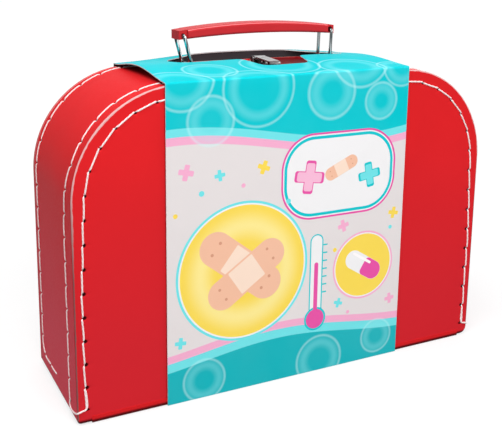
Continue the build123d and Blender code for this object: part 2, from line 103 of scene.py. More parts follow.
def face_drift(station, length):
    """How far the hand-sewn row strays inwards on a face, by its station: straight lines between a few
    values, outwards low on the uprights and inwards on the arcs."""
    from_foot = np.minimum(station, length - station)
    return np.interp(from_foot, (0.0, 0.07, 0.13, 0.16), (-0.0013, -0.0020, 0.0008, 0.0010))


def outline(station, inset, row_inset):
    """Point (x, z) and outward direction on the closed outline drawn in by inset, at stations measured
    along the row that lies row_inset in: up the left side, a quarter circle, the top, a quarter circle and
    down; before and after that the feet, 8 mm to each small circle and 8 mm round it, then the bottom."""
    upright = CASE_TOP - CORNER_RADIUS - CASE_BOTTOM - STITCH_FOOT
    row_radius = CORNER_RADIUS - row_inset
    quarter = row_radius * np.pi / 2
    top = 2 * (HALF_LENGTH - CORNER_RADIUS)
    length = 2 * (upright + quarter) + top
    s = np.asarray(station, float)
    up = s.clip(0, upright) - (s - length + upright).clip(0, upright)
    turn = ((s - upright).clip(0, quarter) + (s - upright - quarter - top).clip(0, quarter)) / row_radius
    radius = CORNER_RADIUS - inset
    x = -(HALF_LENGTH - CORNER_RADIUS) - radius * np.cos(turn) + (s - upright - quarter).clip(0, top)
    z = CASE_BOTTOM + STITCH_FOOT + up + radius * np.sin(turn)
    left_foot, right_foot = (np.maximum(corner, inset) for corner in FOOT_RADII)
    foot = np.where(s > length / 2, right_foot, left_foot)
    foot_round = foot - inset
    low = ((s - length) / FOOT_RUN).clip(0, 1) + (-s / FOOT_RUN).clip(0, 1)
    z = np.maximum(z - np.maximum(STITCH_FOOT - foot, 0) * low, CASE_BOTTOM + foot)
    turn_right = ((s - length - FOOT_RUN) / FOOT_RUN).clip(0, 1) * np.pi / 2
    turn_left = ((-s - FOOT_RUN) / FOOT_RUN).clip(0, 1) * np.pi / 2
    x = x + foot_round * (np.cos(turn_right) - np.cos(turn_left))
    z = z - foot_round * (np.sin(turn_right) + np.sin(turn_left))
    along_bottom = ((s - length - 2 * FOOT_RUN) / BOTTOM_RUN).clip(0, 1)
    x = x - (2 * HALF_LENGTH - left_foot - right_foot) * along_bottom
    return x, z, -np.cos(turn + turn_right - turn_left), np.sin(turn + turn_right - turn_left)


def near_holes(holes, start, end):
    """Stations from start to end, close together at each hole and a few between the holes."""
    reach = np.array([0, 0.3, 0.6, 0.9, 1.2, 1.7, 2.6]) * HOLE_SPREAD
    around = np.concatenate([holes[:, None] - reach, holes[:, None] + reach], 1).ravel()
    between = (holes[1:, None] + holes[:-1, None]) / 2 + np.array([-0.0025, 0.0, 0.0025])
    stations = np.concatenate([around, between.ravel(), [start, end]])
    return np.unique(np.round(stations[(stations >= start) & (stations <= end)], 6))


def surface(name, points, faces, body, smooth=True, **attributes):
    """A mesh object from points and quads, with doubles merged, faces turned outwards, and each named
    attribute given a number per point. It rides on a body of the frame."""
    mesh = bpy.data.meshes.new(name)
    mesh.from_pydata(points.reshape(-1, 3), [], faces.tolist())
    for key, values in attributes.items():
        values = np.asarray(values, np.float32)
        kind = "FLOAT" if values.ndim == 1 else "FLOAT_VECTOR"
        layer = mesh.attributes.new(key, kind, "POINT")
        layer.data.foreach_set("value" if values.ndim == 1 else "vector", values.ravel())
    work = bmesh.new()
    work.from_mesh(mesh)
    bmesh.ops.remove_doubles(work, verts=work.verts, dist=2e-6)
    bmesh.ops.recalc_face_normals(work, faces=work.faces)
    work.to_mesh(mesh)
    work.free()
    mesh.polygons.foreach_set("use_smooth", np.full(len(mesh.polygons), smooth))
    mesh.update()
    piece = bpy.data.objects.new(name, mesh)
    bpy.context.scene.collection.objects.link(piece)
    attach(piece, body)
    return piece


def grid_quads(rows, columns, wrap_rows=False, wrap_columns=False):
    """Quads of a grid of rows by columns points, joined round where it wraps."""
    index = np.arange(rows * columns).reshape(rows, columns)
    if wrap_rows:
        index = np.concatenate([index, index[:1]], 0)
    if wrap_columns:
        index = np.concatenate([index, index[:, :1]], 1)
    corners = (index[:-1, :-1], index[1:, :-1], index[1:, 1:], index[:-1, 1:])
    return np.stack([c.ravel() for c in corners], 1)


def sharpen(piece):
    """Edges that turn by more than the crisp angle stay crisp."""
    piece.data.set_sharp_from_angle(angle=math.radians(CRISP_ANGLE))


def board_section():
    """The board's section as (inset, depth) pairs: from the middle of its outside over the stitch line to
    the rounded edge, round it, and back to the middle of its inside."""
    stitch = FACE_STITCH_INSET + np.concatenate([[0.0024], -ROW_STEPS])
    outside = np.concatenate([[0.045, 0.03, 0.018, 0.012], stitch, [0.0038, 0.0024, 0.0014]])
    bend = np.radians([0, 22, 45, 68, 90])
    edge_in = BOARD_EDGE_ROUND * (1 - np.sin(bend))
    edge_deep = BOARD_EDGE_ROUND * (1 - np.cos(bend))
    inset = np.concatenate([outside, edge_in, edge_in[::-1], [0.004, 0.02, 0.045]])
    depth = np.concatenate([outside * 0, edge_deep, BOARD - edge_deep[::-1], [BOARD, BOARD, BOARD]])
    return inset, depth


def sewn_board(name, face_y, facing, body):
    """A D-shaped board: its section carried round the closed outline and drawn together at the middle,
    with a pit where each stitch goes through. Depth runs from face_y, away from facing."""
    holes, length = row_holes(FACE_STITCH_INSET)
    feet = np.linspace(0, 2 * FOOT_RUN, 9)[1:]
    bottom = length + 2 * FOOT_RUN + np.linspace(0, BOTTOM_RUN, 29)[1:]
    sides = near_holes(holes, 0, length)
    station = np.concatenate([sides, length + feet, bottom, -feet[:-1][::-1]])
    inset, depth = board_section()
    s, q = np.meshgrid(station, inset, indexing="ij")
    to_hole = np.abs(s[:, :, None] - holes).min(2)
    to_row = np.abs(q - FACE_STITCH_INSET - PIT_ASIDE)
    pit = np.exp(-((to_hole / PIT_RADIUS) ** 2 + (to_row / (0.8 * PIT_RADIUS)) ** 2))
    near_row = (1 - np.abs(q - FACE_STITCH_INSET) / 0.0045).clip(0, 1)
    x, z, _, _ = outline(s, q + face_drift(s, length) * near_row, FACE_STITCH_INSET)
    pit = pit * (np.arange(len(inset)) < len(inset) // 2)
    y = face_y - facing * (depth + PIT_DEPTH * pit)
    ring = np.stack([x, y, z], 2)
    to_middle = np.array([1.0, 0.66, 0.33])[None, :, None]
    outer_hub, inner_hub = (np.array([0, ring[0, k, 1], BOARD_MIDDLE]) for k in (0, -1))
    outer_spokes = ring[:, :1] * (1 - to_middle) + outer_hub * to_middle
    inner_spokes = ring[:, -1:] * (1 - to_middle[:, ::-1]) + inner_hub * to_middle[:, ::-1]
    points = np.concatenate([outer_spokes, ring, inner_spokes], 1)
    inner = np.full((len(station), 3), 0.05)
    edge = np.concatenate([inner, np.broadcast_to(inset, q.shape), inner], 1)
    zero = np.zeros((len(station), 3))
    pits = np.concatenate([zero, pit, zero], 1)
    quads = grid_quads(points.shape[0], points.shape[1], wrap_rows=True)
    deep = np.broadcast_to(np.concatenate([zero[0], depth, zero[0] + BOARD]), edge.shape)
    piece = surface(name, points, quads, body,
                    edge=edge.ravel() * 1e3, pit=pits.ravel(), deep=deep.ravel() * 1e3)
    sharpen(piece)
    return piece


def plug(tree, socket, value):
    """Gives a socket a value, or joins another node's output to it."""
    if isinstance(value, bpy.types.NodeSocket):
        tree.links.new(value, socket)
    else:
        socket.default_value = value


def place(tree, kind, sockets=None, **settings):
    """A shader node of that kind, with its settings made and its sockets plugged."""
    made = tree.nodes.new(kind)
    for key, value in settings.items():
        setattr(made, key, value)
    for key, value in (sockets or {}).items():
        plug(tree, made.inputs[key], value)
    return made


def sums(tree, operation, *values):
    """The result of a chain of one kind of Math node on values or outputs."""
    total = values[0]
    for value in values[1:]:
        total = place(tree, "ShaderNodeMath", {0: total, 1: value}, operation=operation).outputs[0]
    return total


def ramp(tree, value, low, high, low_out=0.0, high_out=1.0, kind="LINEAR"):
    """value taken from the range low to high onto low_out to high_out, and held at the ends."""
    settings = {"Value": value, "From Min": low, "From Max": high, "To Min": low_out, "To Max": high_out}
    return place(tree, "ShaderNodeMapRange", settings, interpolation_type=kind).outputs["Result"]


def tint(tree, factor, low, high):
    """A colour between low and high, by factor."""
    low, high = (c if isinstance(c, bpy.types.NodeSocket) else (*c, 1.0) for c in (low, high))
    return place(tree, "ShaderNodeMix", {0: factor, 6: low, 7: high}, data_type="RGBA").outputs[2]


def noise(tree, vector, scale, detail):
    """Cloudy noise from 0 to 1."""
    return place(tree, "ShaderNodeTexNoise", {"Vector": vector, "Scale": scale, "Detail": detail}).outputs[0]


def attribute(tree, name, output="Fac"):
    """What the mesh carries at its points under that name."""
    return place(tree, "ShaderNodeAttribute", attribute_name=name).outputs[output]


def finish_tree(name):
    """A new material, its node tree, its Principled shader and the piece's own coordinates."""
    material = bpy.data.materials.new(name)
    material.use_nodes = True
    tree = material.node_tree
    shader = next(n for n in tree.nodes if n.type == "BSDF_PRINCIPLED")
    return material, tree, shader, place(tree, "ShaderNodeTexCoord").outputs["Object"]


def coat(tree, shader, sockets, relief, strength, distance):
    """Plugs the shader's sockets, and a bump that follows the relief."""
    bump = place(tree, "ShaderNodeBump", {"Strength": strength, "Distance": distance, "Height": relief})
    for key, value in (sockets | {"Normal": bump.outputs[0]}).items():
        plug(tree, shader.inputs[key], value)


def effect_group(name, inputs, outputs):
    """An empty shader node group with named number or vector sockets, and its two ends."""
    group = bpy.data.node_groups.new(name, "ShaderNodeTree")
    kinds = {"value": "NodeSocketFloat", "vector": "NodeSocketVector"}
    for key, kind in inputs.items():
        group.interface.new_socket(key, in_out="INPUT", socket_type=kinds[kind])
    for key, kind in outputs.items():
        group.interface.new_socket(key, in_out="OUTPUT", socket_type=kinds[kind])
    return group, group.nodes.new("NodeGroupInput").outputs, group.nodes.new("NodeGroupOutput").inputs


# Handling leaves the same soft mottling on every surface: broad cloudy patches and fine grain.
mottle, given, result = effect_group(
    "mottle", {"Vector": "vector", "Broad": "value", "Fine": "value"}, {"Patches": "value", "Grain": "value"})
mottle.links.new(noise(mottle, given["Vector"], given["Broad"], 3.0), result["Patches"])
mottle.links.new(noise(mottle, given["Vector"], given["Fine"], 2.0), result["Grain"])

# Paper wears through along a board's edge: a ragged band that follows the distance to the edge.
edge_wear, given, result = effect_group(
    "edge_wear", {"Vector": "vector", "Edge": "value", "Width": "value", "Amount": "value"},
    {"Mask": "value"})
ragged = sums(edge_wear, "MULTIPLY", noise(edge_wear, given["Vector"], 260.0, 4.0), 0.9)
streaks = sums(edge_wear, "MULTIPLY", noise(edge_wear, given["Vector"], 34.0, 2.0), 0.9)
close = sums(edge_wear, "SUBTRACT", 1.0, sums(edge_wear, "DIVIDE", given["Edge"], given["Width"]))
least = sums(edge_wear, "SUBTRACT", 1.9, given["Amount"])
worn = sums(edge_wear, "SUBTRACT", sums(edge_wear, "ADD", close, ragged, streaks), least)
edge_wear.links.new(ramp(edge_wear, worn, 0.0, 0.12), result["Mask"])


def put(tree, group, **values):
    """A copy of a shared effect in a material, with its own values, and what it gives out."""
    sockets = {key.replace("_", " "): value for key, value in values.items()}
    return place(tree, "ShaderNodeGroup", sockets, node_tree=group).outputs


def uneven(tree, spots, broad, fine):
    """A relief of the broad patches and the fine grain, each by its share."""
    patches = sums(tree, "MULTIPLY", spots["Patches"], broad)
    return sums(tree, "ADD", patches, sums(tree, "MULTIPLY", spots["Grain"], fine))


def red_card(name, sewn=False, cut=False, worn=WORN_CARD, wear=(0.70, 0.9), foot_shade=FOOT_SHADE_FACE):
    """Glossy red paper on board, in a mottled red. Sewn board also has painted shade towards its foot, a
    duller red that turns purplish on the end walls as a painted reflection; it is worn along its edge by the
    edge attribute and more so on the arcs, with a painted contact shadow where it stands and painted shade in
    its stitch holes. Cut board shows its core where it is cut through, and a deep red painted shadow round
    the latch."""
    material, tree, shader, where = finish_tree(name)
    spots = put(tree, mottle, Vector=where, Broad=14.0, Fine=900.0)
    low_red, high_red = [c * 0.95 for c in CARD_RED], [c * 1.04 for c in CARD_RED]
    shade = tint(tree, ramp(tree, spots["Patches"], 0.3, 0.7), low_red, high_red)
    rough = ramp(tree, spots["Grain"], 0.3, 0.7, 0.34, 0.46)
    if sewn:
        edge, pit, deep = (attribute(tree, key) for key in ("edge", "pit", "deep"))
        height = place(tree, "ShaderNodeSeparateXYZ", {0: where}).outputs[2]
        # Painted shade towards the foot, purplish on the end walls as a painted reflection.
        shade = tint(tree, ramp(tree, height, *FOOT_SHADE_HEIGHTS, 1.0, 0.0), shade, foot_shade)
        from_edge = sums(tree, "ADD", edge, deep)
        amount = ramp(tree, height, *WEAR_HEIGHTS, *wear)
        pale = put(tree, edge_wear, Vector=where, Edge=from_edge, Width=1.1, Amount=amount)["Mask"]
        worn_tone = tint(tree, ramp(tree, height, *WORN_TONE_HEIGHTS), WORN_DARK, worn)
        shade = tint(tree, pale, shade, worn_tone)
        # Painted contact shadow along the foot.
        shade = tint(tree, ramp(tree, height, *CONTACT_SHADOW_LINE, 0.9, 0.0), shade, CONTACT_SHADOW_RED)
        if cut:
            # Painted shadow round the latch under the sleeve.
            from_latch = place(tree, "ShaderNodeVectorMath", {0: where, 1: LATCH_SHADOW_CENTRE}, operation="DISTANCE")
            latch_shadow = ramp(tree, from_latch.outputs["Value"], *LATCH_SHADOW_RADII, 1.0, 0.0, kind="SMOOTHSTEP")
            shade = tint(tree, latch_shadow, shade, PAINTED_SHADOW_RED)
            core = sums(tree, "MULTIPLY", ramp(tree, deep, 0.2, 0.4), ramp(tree, deep, 1.6, 1.8, 1.0, 0.0))
            shade = tint(tree, core, shade, RAW_BOARD)
        # Painted shade in the stitch holes.
        shade = tint(tree, ramp(tree, pit, 0.16, 0.40), shade, HOLE_SHADE_RED)
        rough = place(tree, "ShaderNodeMix", {0: pale, 2: rough, 3: 0.8}).outputs[0]
    coat(tree, shader, {"Base Color": shade, "Roughness": rough, "Specular IOR Level": 0.009},
         uneven(tree, spots, 1.5, 0.06), 0.25, 0.0006)
    return material


front_board = sewn_board("front_board", -HALF_DEPTH, -1, "lid")
front_board.data.materials.append(red_card("sewn_red_card", sewn=True))
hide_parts("front_panel")

# ---- back board of the base ----
# The same board, sewn to the inner wall; it closes the case at the back.
back_board = sewn_board("back_board", HALF_DEPTH, 1, "base")
back_board.data.materials.append(red_card("back_red_card", sewn=True, worn=RAW_BOARD, wear=(0.6, 1.05)))
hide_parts("back_panel")

# ---- outer wall of the lid ----
# One strip of red board, bent over the case from foot to foot and turned in a little at both feet.
# Two sewn rows run along it, and a window in its rear rim lets the latch's strike through.
WALL_BACK = 0.0437
WALL_FOOT = 0.0155
WALL_ROW_Y = -0.030
WALL_ROW_REACH = 0.0135
RIM_ROW_Y = 0.036
RIM_ROW_GAP = (-0.030, 0.052)
TURN_START = 0.0110
WINDOW_X = (0.0007, 0.0093)
WINDOW_FRONT = 0.0231


def slab(name, outer, inner, keep, body, **attributes):
    """A closed sheet between two grids: the outer quads, the inner quads turned over, and a band of quads
    along every line where the kept cells end."""
    rows, columns = outer.shape[:2]
    index = np.arange(rows * columns).reshape(rows, columns)
    shift = rows * columns
    a, b, c, d = (index[:-1, :-1], index[1:, :-1], index[1:, 1:], index[:-1, 1:])
    top = np.stack([a[keep], b[keep], c[keep], d[keep]], 1)
    padded = np.pad(keep, 1)
    bands = []
    for row_step, column_step, start, end in ((-1, 0, a, d), (1, 0, c, b), (0, -1, b, a), (0, 1, d, c)):
        beside = padded[1 + row_step:rows + row_step, 1 + column_step:columns + column_step]
        cut = keep & ~beside
        bands.append(np.stack([start[cut], end[cut], end[cut] + shift, start[cut] + shift], 1))
    faces = np.concatenate([top, top[:, ::-1] + shift] + bands)
    points = np.concatenate([outer.reshape(-1, 3), inner.reshape(-1, 3)])
    return surface(name, points, faces, body, **attributes)


def wall_drift(station, length):
    """How far the front row strays on the wall, by its station: straight lines between a few values, none
    on the uprights and forwards over the arcs."""
    from_foot = np.minimum(station, length - station)
    return np.interp(from_foot, (0.0, 0.11, 0.15, 0.19, 0.23), (0.0, 0.0, -0.0055, -0.0045, -0.0075))


def wall_grid(inset):
    """Points of the bent strip: stations round the outline by steps in depth, drawn in by inset."""
    holes, length = row_holes(0.0)
    feet = np.linspace(0, WALL_FOOT, 8)[1:]
    window = length / 2 + np.array(WINDOW_X)
    sides = near_holes(holes, 0, length)
    station = np.unique(np.concatenate([-feet[::-1], sides, length + feet, window]))
    even = np.linspace(-HALF_DEPTH + BOARD, WALL_BACK, 14)
    rows = [WALL_ROW_Y + ROW_STEPS, RIM_ROW_Y + ROW_STEPS]
    depth = np.unique(np.concatenate([even, *rows, [WINDOW_FRONT]]))
    s, y = np.meshgrid(station, depth, indexing="ij")
    y = y + wall_drift(s, length) * (1 - np.abs(y - WALL_ROW_Y) / WALL_ROW_REACH).clip(0, 1)
    x, z, _, _ = outline(s, inset, 0.0)
    return s, y, x, z, holes, station, depth, window


s, y, x, z, holes, station, depth, window = wall_grid(0.0)
_, _, x_in, z_in, *_ = wall_grid(BOARD)
to_hole = np.abs(s[:, :, None] - holes).min(2)
row_spots, rim_spots = (np.exp(-((y - row_y) / (0.8 * PIT_RADIUS)) ** 2)
                        for row_y in (WALL_ROW_Y + wall_drift(s, holes[-1]), RIM_ROW_Y))
rim_sewn = (np.minimum(s, holes[-1] - s) > TURN_START - 0.002) & ((x < RIM_ROW_GAP[0]) | (x > RIM_ROW_GAP[1]))
row_pits = np.exp(-(to_hole / PIT_RADIUS) ** 2) * (row_spots + rim_spots * rim_sewn)
inwards = np.stack([x_in - x, 0 * y, z_in - z], 2) / BOARD
outer = np.stack([x, y, z], 2) + inwards * PIT_DEPTH * row_pits[:, :, None]
inner = np.stack([x_in, y, z_in], 2)
middle_s = (station[:-1] + station[1:]) / 2
middle_y = (depth[:-1] + depth[1:]) / 2
in_window = ((middle_s > window[0]) & (middle_s < window[1]))[:, None] & (middle_y > WINDOW_FRONT)
edge_mm = np.minimum(np.minimum(y + HALF_DEPTH, WALL_BACK - y), z - CASE_BOTTOM + 0.0002) * 1e3
deep_mm = np.concatenate([np.zeros(s.size), np.full(s.size, BOARD * 1e3)])
edge_mm, pits_twice = (np.concatenate([field.ravel()] * 2) for field in (edge_mm, row_pits))
lid_wall = slab("lid_wall", outer, inner, ~in_window, "lid", edge=edge_mm, pit=pits_twice, deep=deep_mm)
sharpen(lid_wall)
# The end walls take a purplish painted reflection with the painted shade at their foot.
lid_wall.data.materials.append(red_card("wall_red_card", sewn=True, cut=True, foot_shade=FOOT_SHADE_AND_REFLECTION_END))
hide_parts("outer_wall")

# ---- inner wall, bottom board, folded strips and linings ----
# Plain card, fibre and paper pieces inside the case, cut and glued; they only show when the lid is open.
def dress(material, *names):
    """Gives these pieces of the frame that material alone."""
    for name in names:
        node[name].data.materials.clear()
        node[name].data.materials.append(material)


def fibre_finish(name, light, dark, grain, roughness):
    """Uncoated board or paper: fibres as stretched noise in two tones, matt, with a faint nap."""
    material, tree, shader, where = finish_tree(name)
    along = place(tree, "ShaderNodeMapping", {"Vector": where, "Scale": (0.25, 1.0, 1.0)}).outputs[0]
    spots = put(tree, mottle, Vector=along, Broad=40.0, Fine=grain)
    shade = tint(tree, ramp(tree, spots["Grain"], 0.35, 0.65), dark, light)
    shade = tint(tree, ramp(tree, spots["Patches"], 0.4, 0.8, 0.0, 0.25), shade, dark)
    coat(tree, shader, {"Base Color": shade, "Roughness": roughness}, spots["Grain"], 0.3, 0.0001)
    return material


dress(red_card("plain_red_card"), "inner_wall", "bottom_board")
grey_fibre = fibre_finish("grey_fibre", (0.46, 0.42, 0.37), (0.30, 0.27, 0.24), 1400.0, 0.85)
dress(grey_fibre, "front_corner_strip", "back_corner_strip")
lining_paper = fibre_finish("lining_paper", (0.84, 0.82, 0.77), (0.76, 0.73, 0.67), 2200.0, 0.8)
dress(lining_paper, "lid_lining", "back_lining")

# ---- sewing thread ----
# White waxed two-ply thread in long hand-sewn stitches. It lies on the board between the holes and
# dips into each one. Low down, the wall's row is carried round the corner, and the rim's turns forwards.
THREAD_RADIUS = 0.00046
THREAD_SIDES = 8
THREAD_STEP = 0.0005
THREAD_SPREAD = 1.2
THREAD_PLY_TWIST = 0.0032
THREAD_SLANT = 0.00034
THREAD_DIP = 0.0012
THREAD_DIP_RUN = 0.0017
THREAD_ARCH = 0.00008
THREAD_SLACK = 0.00022
TURN_RADIUS = 0.0090
TURN_LENGTH = 0.0400


def thread_along(distance, holes, seed):
    """Height above the board and sideways step of the thread: a low arch over each stitch, down into the
    hole at both its ends, with a slant across the stitch and a little slack that differs by stitch."""
    slack = np.random.default_rng(seed).uniform(-1, 1, len(holes) + 2)
    which = np.searchsorted(holes, distance, side="right").clip(1, len(holes) - 1)
    left, right = holes[which - 1], holes[which]
    share = ((distance - left) / (right - left)).clip(0, 1)
    to_hole = np.minimum(distance - left, right - distance).clip(0, None)
    rise = 1 - (1 - (to_hole / THREAD_DIP_RUN).clip(0, 1)) ** 2
    arch = np.sin(np.pi * share)
    height = rise * (THREAD_DIP + THREAD_RADIUS * 0.35) - THREAD_DIP + THREAD_ARCH * arch
    aside = THREAD_SLANT * (2 * share - 1) * rise + THREAD_SLACK * slack[which] * arch
    return height, aside


def thread_tube(name, centre, lift, side, distance, body):
    """A two-ply thread: a ring of points round each centre, in the plane of lift and side, whose radius
    swells twice a turn and turns with the distance; both ends are drawn to a point."""
    turn = np.linspace(0, 2 * np.pi, THREAD_SIDES + 1)[:-1]
    ply = 1 + 0.07 * np.cos(2 * (turn - np.pi * distance[:, None] / THREAD_PLY_TWIST))
    radius = THREAD_RADIUS * ply
    radius[0] = radius[-1] = 1e-6
    up, across = lift[:, None, :], THREAD_SPREAD * side[:, None, :]
    ring = up * np.cos(turn)[:, None] + across * np.sin(turn)[:, None]
    points = centre[:, None, :] + ring * radius[:, :, None]
    along = np.broadcast_to(distance[:, None] * 1e3, radius.shape).ravel()
    around = np.broadcast_to(turn, radius.shape).ravel()
    quads = grid_quads(len(centre), THREAD_SIDES, wrap_columns=True)
    return surface(name, points, quads, body, along=along, around=around)


def row_stations(start, end):
    """Distances from start to end, a thread's step apart."""
    return np.linspace(start, end, int((end - start) / THREAD_STEP) + 1)


def face_thread(name, face_y, facing, body, seed):
    """The thread on a face board: straight from hole to hole, each hole at the row's inset plus its drift,
    lifted off the face along the facing side."""
    holes, length = row_holes(FACE_STITCH_INSET)
    d = row_stations(0, length)
    height, aside = thread_along(d, holes, seed)
    hole_inset = FACE_STITCH_INSET + face_drift(holes, length)
    x, z, nx, nz = (np.interp(d, holes, value) for value in outline(holes, hole_inset, FACE_STITCH_INSET))
    x, z = x + nx * aside, z + nz * aside
    centre = np.stack([x, face_y + facing * height, z], 1)
    lift = np.stack([0 * d, 0 * d + facing, 0 * d], 1)
    side = np.stack([nx, 0 * d, nz], 1)
    return thread_tube(name, centre, lift, side, d, body)


def front_wall_thread(name):
    """The front row on the wall: round the outline at its depth plus its drift, lifted outwards."""
    holes, length = row_holes(0.0)
    d = row_stations(0, length)
    height, aside = thread_along(d, holes, 7)
    x, z, nx, nz = outline(d, 0.0, 0.0)
    lift = np.stack([nx, 0 * d, nz], 1)
    centre = np.stack([x, WALL_ROW_Y + wall_drift(d, length) + aside, z], 1) + lift * height[:, None]
    return thread_tube(name, centre, lift, np.stack([0 * d, 0 * d + 1, 0 * d], 1), d, "lid")


def rim_thread(name, right_half, gap_x):
    """Half of the rim's row, from the gap under the sleeve's slot down: round the outline, then near the
    foot it turns forwards on a quarter circle and runs level, with holes at the same pitch."""
    holes, length = row_holes(0.0)
    more = TURN_START - TURN_LENGTH + STITCH_PITCH * np.arange(3)
    kept = holes[(holes > TURN_START) & (holes < length - TURN_START)]
    holes = np.concatenate([more, kept, length - more[::-1]])
    d = row_stations(TURN_START - TURN_LENGTH, length - TURN_START + TURN_LENGTH)
    height, aside = thread_along(d, holes, 11)
    x, z, nx, nz = outline(d.clip(TURN_START, length - TURN_START), 0.0, 0.0)
    past = np.maximum(TURN_START - d, d - length + TURN_START).clip(0)
    turn = (past / TURN_RADIUS).clip(0, np.pi / 2)
    level = (past - TURN_RADIUS * np.pi / 2).clip(0)
    lift = np.stack([nx, 0 * d, nz], 1)
    side = np.stack([0 * d, np.cos(turn), -np.sin(turn)], 1)
    y = RIM_ROW_Y - TURN_RADIUS * (1 - np.cos(turn)) - level
    centre = np.stack([x, y, z - TURN_RADIUS * np.sin(turn)], 1)
    centre += lift * height[:, None] + side * aside[:, None]
    keep = (d > length / 2) & (x > gap_x) if right_half else (d < length / 2 + 0.01) & (x < gap_x)
    return thread_tube(name, centre[keep], lift[keep], side[keep], d[keep], "lid")


CORNER_WRAP = np.array([
    (-147.0, -30.0, 9.8), (-147.25, -29.6, 8.6), (-147.25, -29.6, 6.4), (-147.25, -31.2, 4.6),
    (-147.25, -36.5, 4.8), (-147.25, -41.5, 6.2), (-147.3, -45.4, 7.9), (-147.0, -46.7, 8.6),
    (-144.6, -46.5, 9.2), (-142.0, -46.5, 9.6), (-140.9, -46.5, 11.8), (-141.2, -46.4, 16.0),
    (-141.6, -46.4, 21.0), (-141.9, -45.2, 22.4)]) * 1e-3
CORNER_X = 0.1458
CORNER_Y = -0.0450


def wrap_thread(name, mirror):
    """The tail that joins the wall's row to the face's round the lower corner: a control polygon whose
    corners are cut four times, lifted away from whichever of the two boards it lies on."""
    points = CORNER_WRAP * (mirror, 1, 1)
    for _ in range(4):
        cut = np.stack([0.75 * points[:-1] + 0.25 * points[1:], 0.25 * points[:-1] + 0.75 * points[1:]], 1)
        points = np.concatenate([points[:1], cut.reshape(-1, 3), points[-1:]])
    d = np.concatenate([[0], np.cumsum(np.linalg.norm(np.diff(points, axis=0), axis=1))])
    even = np.linspace(0, d[-1], int(d[-1] / 0.0004))
    points = np.stack([np.interp(even, d, points[:, k]) for k in range(3)], 1)
    on_wall = ((np.abs(points[:, 0]) - CORNER_X) / 0.001).clip(0, 1)
    on_face = ((CORNER_Y - points[:, 1]) / 0.001).clip(0, 1)
    lift = np.stack([on_wall * np.sign(points[:, 0]), -on_face - 1e-3, 0 * on_wall], 1)
    lift /= np.linalg.norm(lift, axis=1)[:, None]
    side = np.cross(np.gradient(points, axis=0), lift)
    side /= np.linalg.norm(side, axis=1)[:, None]
    return thread_tube(name, points, lift, side, even, "lid")


def thread_finish(name):
    """Waxed cotton: white with a painted pink cast of the light off the card, and painted shade in the
    grooves between the plies.
    """
    material, tree, shader, where = finish_tree(name)
    along = sums(tree, "MULTIPLY", attribute(tree, "along"), 2 * math.pi / (THREAD_PLY_TWIST * 1e3))
    around = sums(tree, "MULTIPLY", attribute(tree, "around"), -2.0)
    twist = sums(tree, "ADD", along, around)
    # Painted shade in the grooves between the plies; both tones carry a painted pink cast of light off the
    # card.
    groove_shade = place(tree, "ShaderNodeMath", {0: twist}, operation="COSINE").outputs[0]
    spots = put(tree, mottle, Vector=where, Broad=60.0, Fine=1800.0)
    shade = tint(tree, ramp(tree, groove_shade, -1.0, 0.2), (0.76, 0.57, 0.57), (0.95, 0.86, 0.86))
    shade = tint(tree, ramp(tree, spots["Patches"], 0.45, 0.75, 0.0, 0.25), shade, (0.80, 0.60, 0.60))
    coat(tree, shader, {"Base Color": shade, "Roughness": 0.55, "Sheen Weight": 0.2},
         spots["Grain"], 0.4, 0.0001)
    return material


waxed_thread = thread_finish("waxed_thread")
sewn_rows = {
    "front_face_stitches": [face_thread("front_face_thread", -HALF_DEPTH, -1, "lid", 3),
                            wrap_thread("corner_thread_left", 1), wrap_thread("corner_thread_right", -1)],
    "back_face_stitches": [face_thread("back_face_thread", HALF_DEPTH, 1, "base", 5)],
    "front_wall_stitches": [front_wall_thread("front_wall_thread")],
    "rim_stitches": [rim_thread("rim_thread_left", False, RIM_ROW_GAP[0]),
                     rim_thread("rim_thread_right", True, RIM_ROW_GAP[1])],
}
for stitches, threads in sewn_rows.items():
    for thread in threads:
        thread.data.materials.append(waxed_thread)
    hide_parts(stitches)
plain_thread = fibre_finish("plain_thread", (0.90, 0.84, 0.84), (0.66, 0.52, 0.52), 2600.0, 0.6)
dress(plain_thread, "back_wall_stitches")

# ---- cloth hinge ----
# Red bookbinding cloth glued along the lower front edge, one leaf on each shell. The case stands on it,
# and a painted contact shadow darkens it up to a line a little above the floor.
WEAVE = {"Scale": 320.0, "Distortion": 0.3}
CLOTH_CONTACT_SHADOW_LINE = (0.0018, 0.0030)


def cloth_finish(name, colour):
    """Woven cloth: two crossed waves of thread in the plane of the leaf, raised where they cross over."""
    material, tree, shader, where = finish_tree(name)
    sockets = WEAVE | {"Vector": where}
    warp, weft = (place(tree, "ShaderNodeTexWave", sockets, bands_direction=way) for way in ("X", "Y"))
    weave = sums(tree, "MULTIPLY", warp.outputs["Fac"], weft.outputs["Fac"])
    shade = tint(tree, weave, [c * 0.86 for c in colour], colour)
    height = place(tree, "ShaderNodeSeparateXYZ", {0: where}).outputs[2]
    # Painted contact shadow along the foot.
    shade = tint(tree, ramp(tree, height, *CLOTH_CONTACT_SHADOW_LINE, 0.9, 0.0), shade, CONTACT_SHADOW_RED)
    coat(tree, shader, {"Base Color": shade, "Roughness": 0.6, "Specular IOR Level": 0.02},
         weave, 0.3, 0.0001)
    return material


dress(cloth_finish("book_cloth", (0.70, 0.017, 0.021)), "hinge_cloth_base", "hinge_cloth_lid")

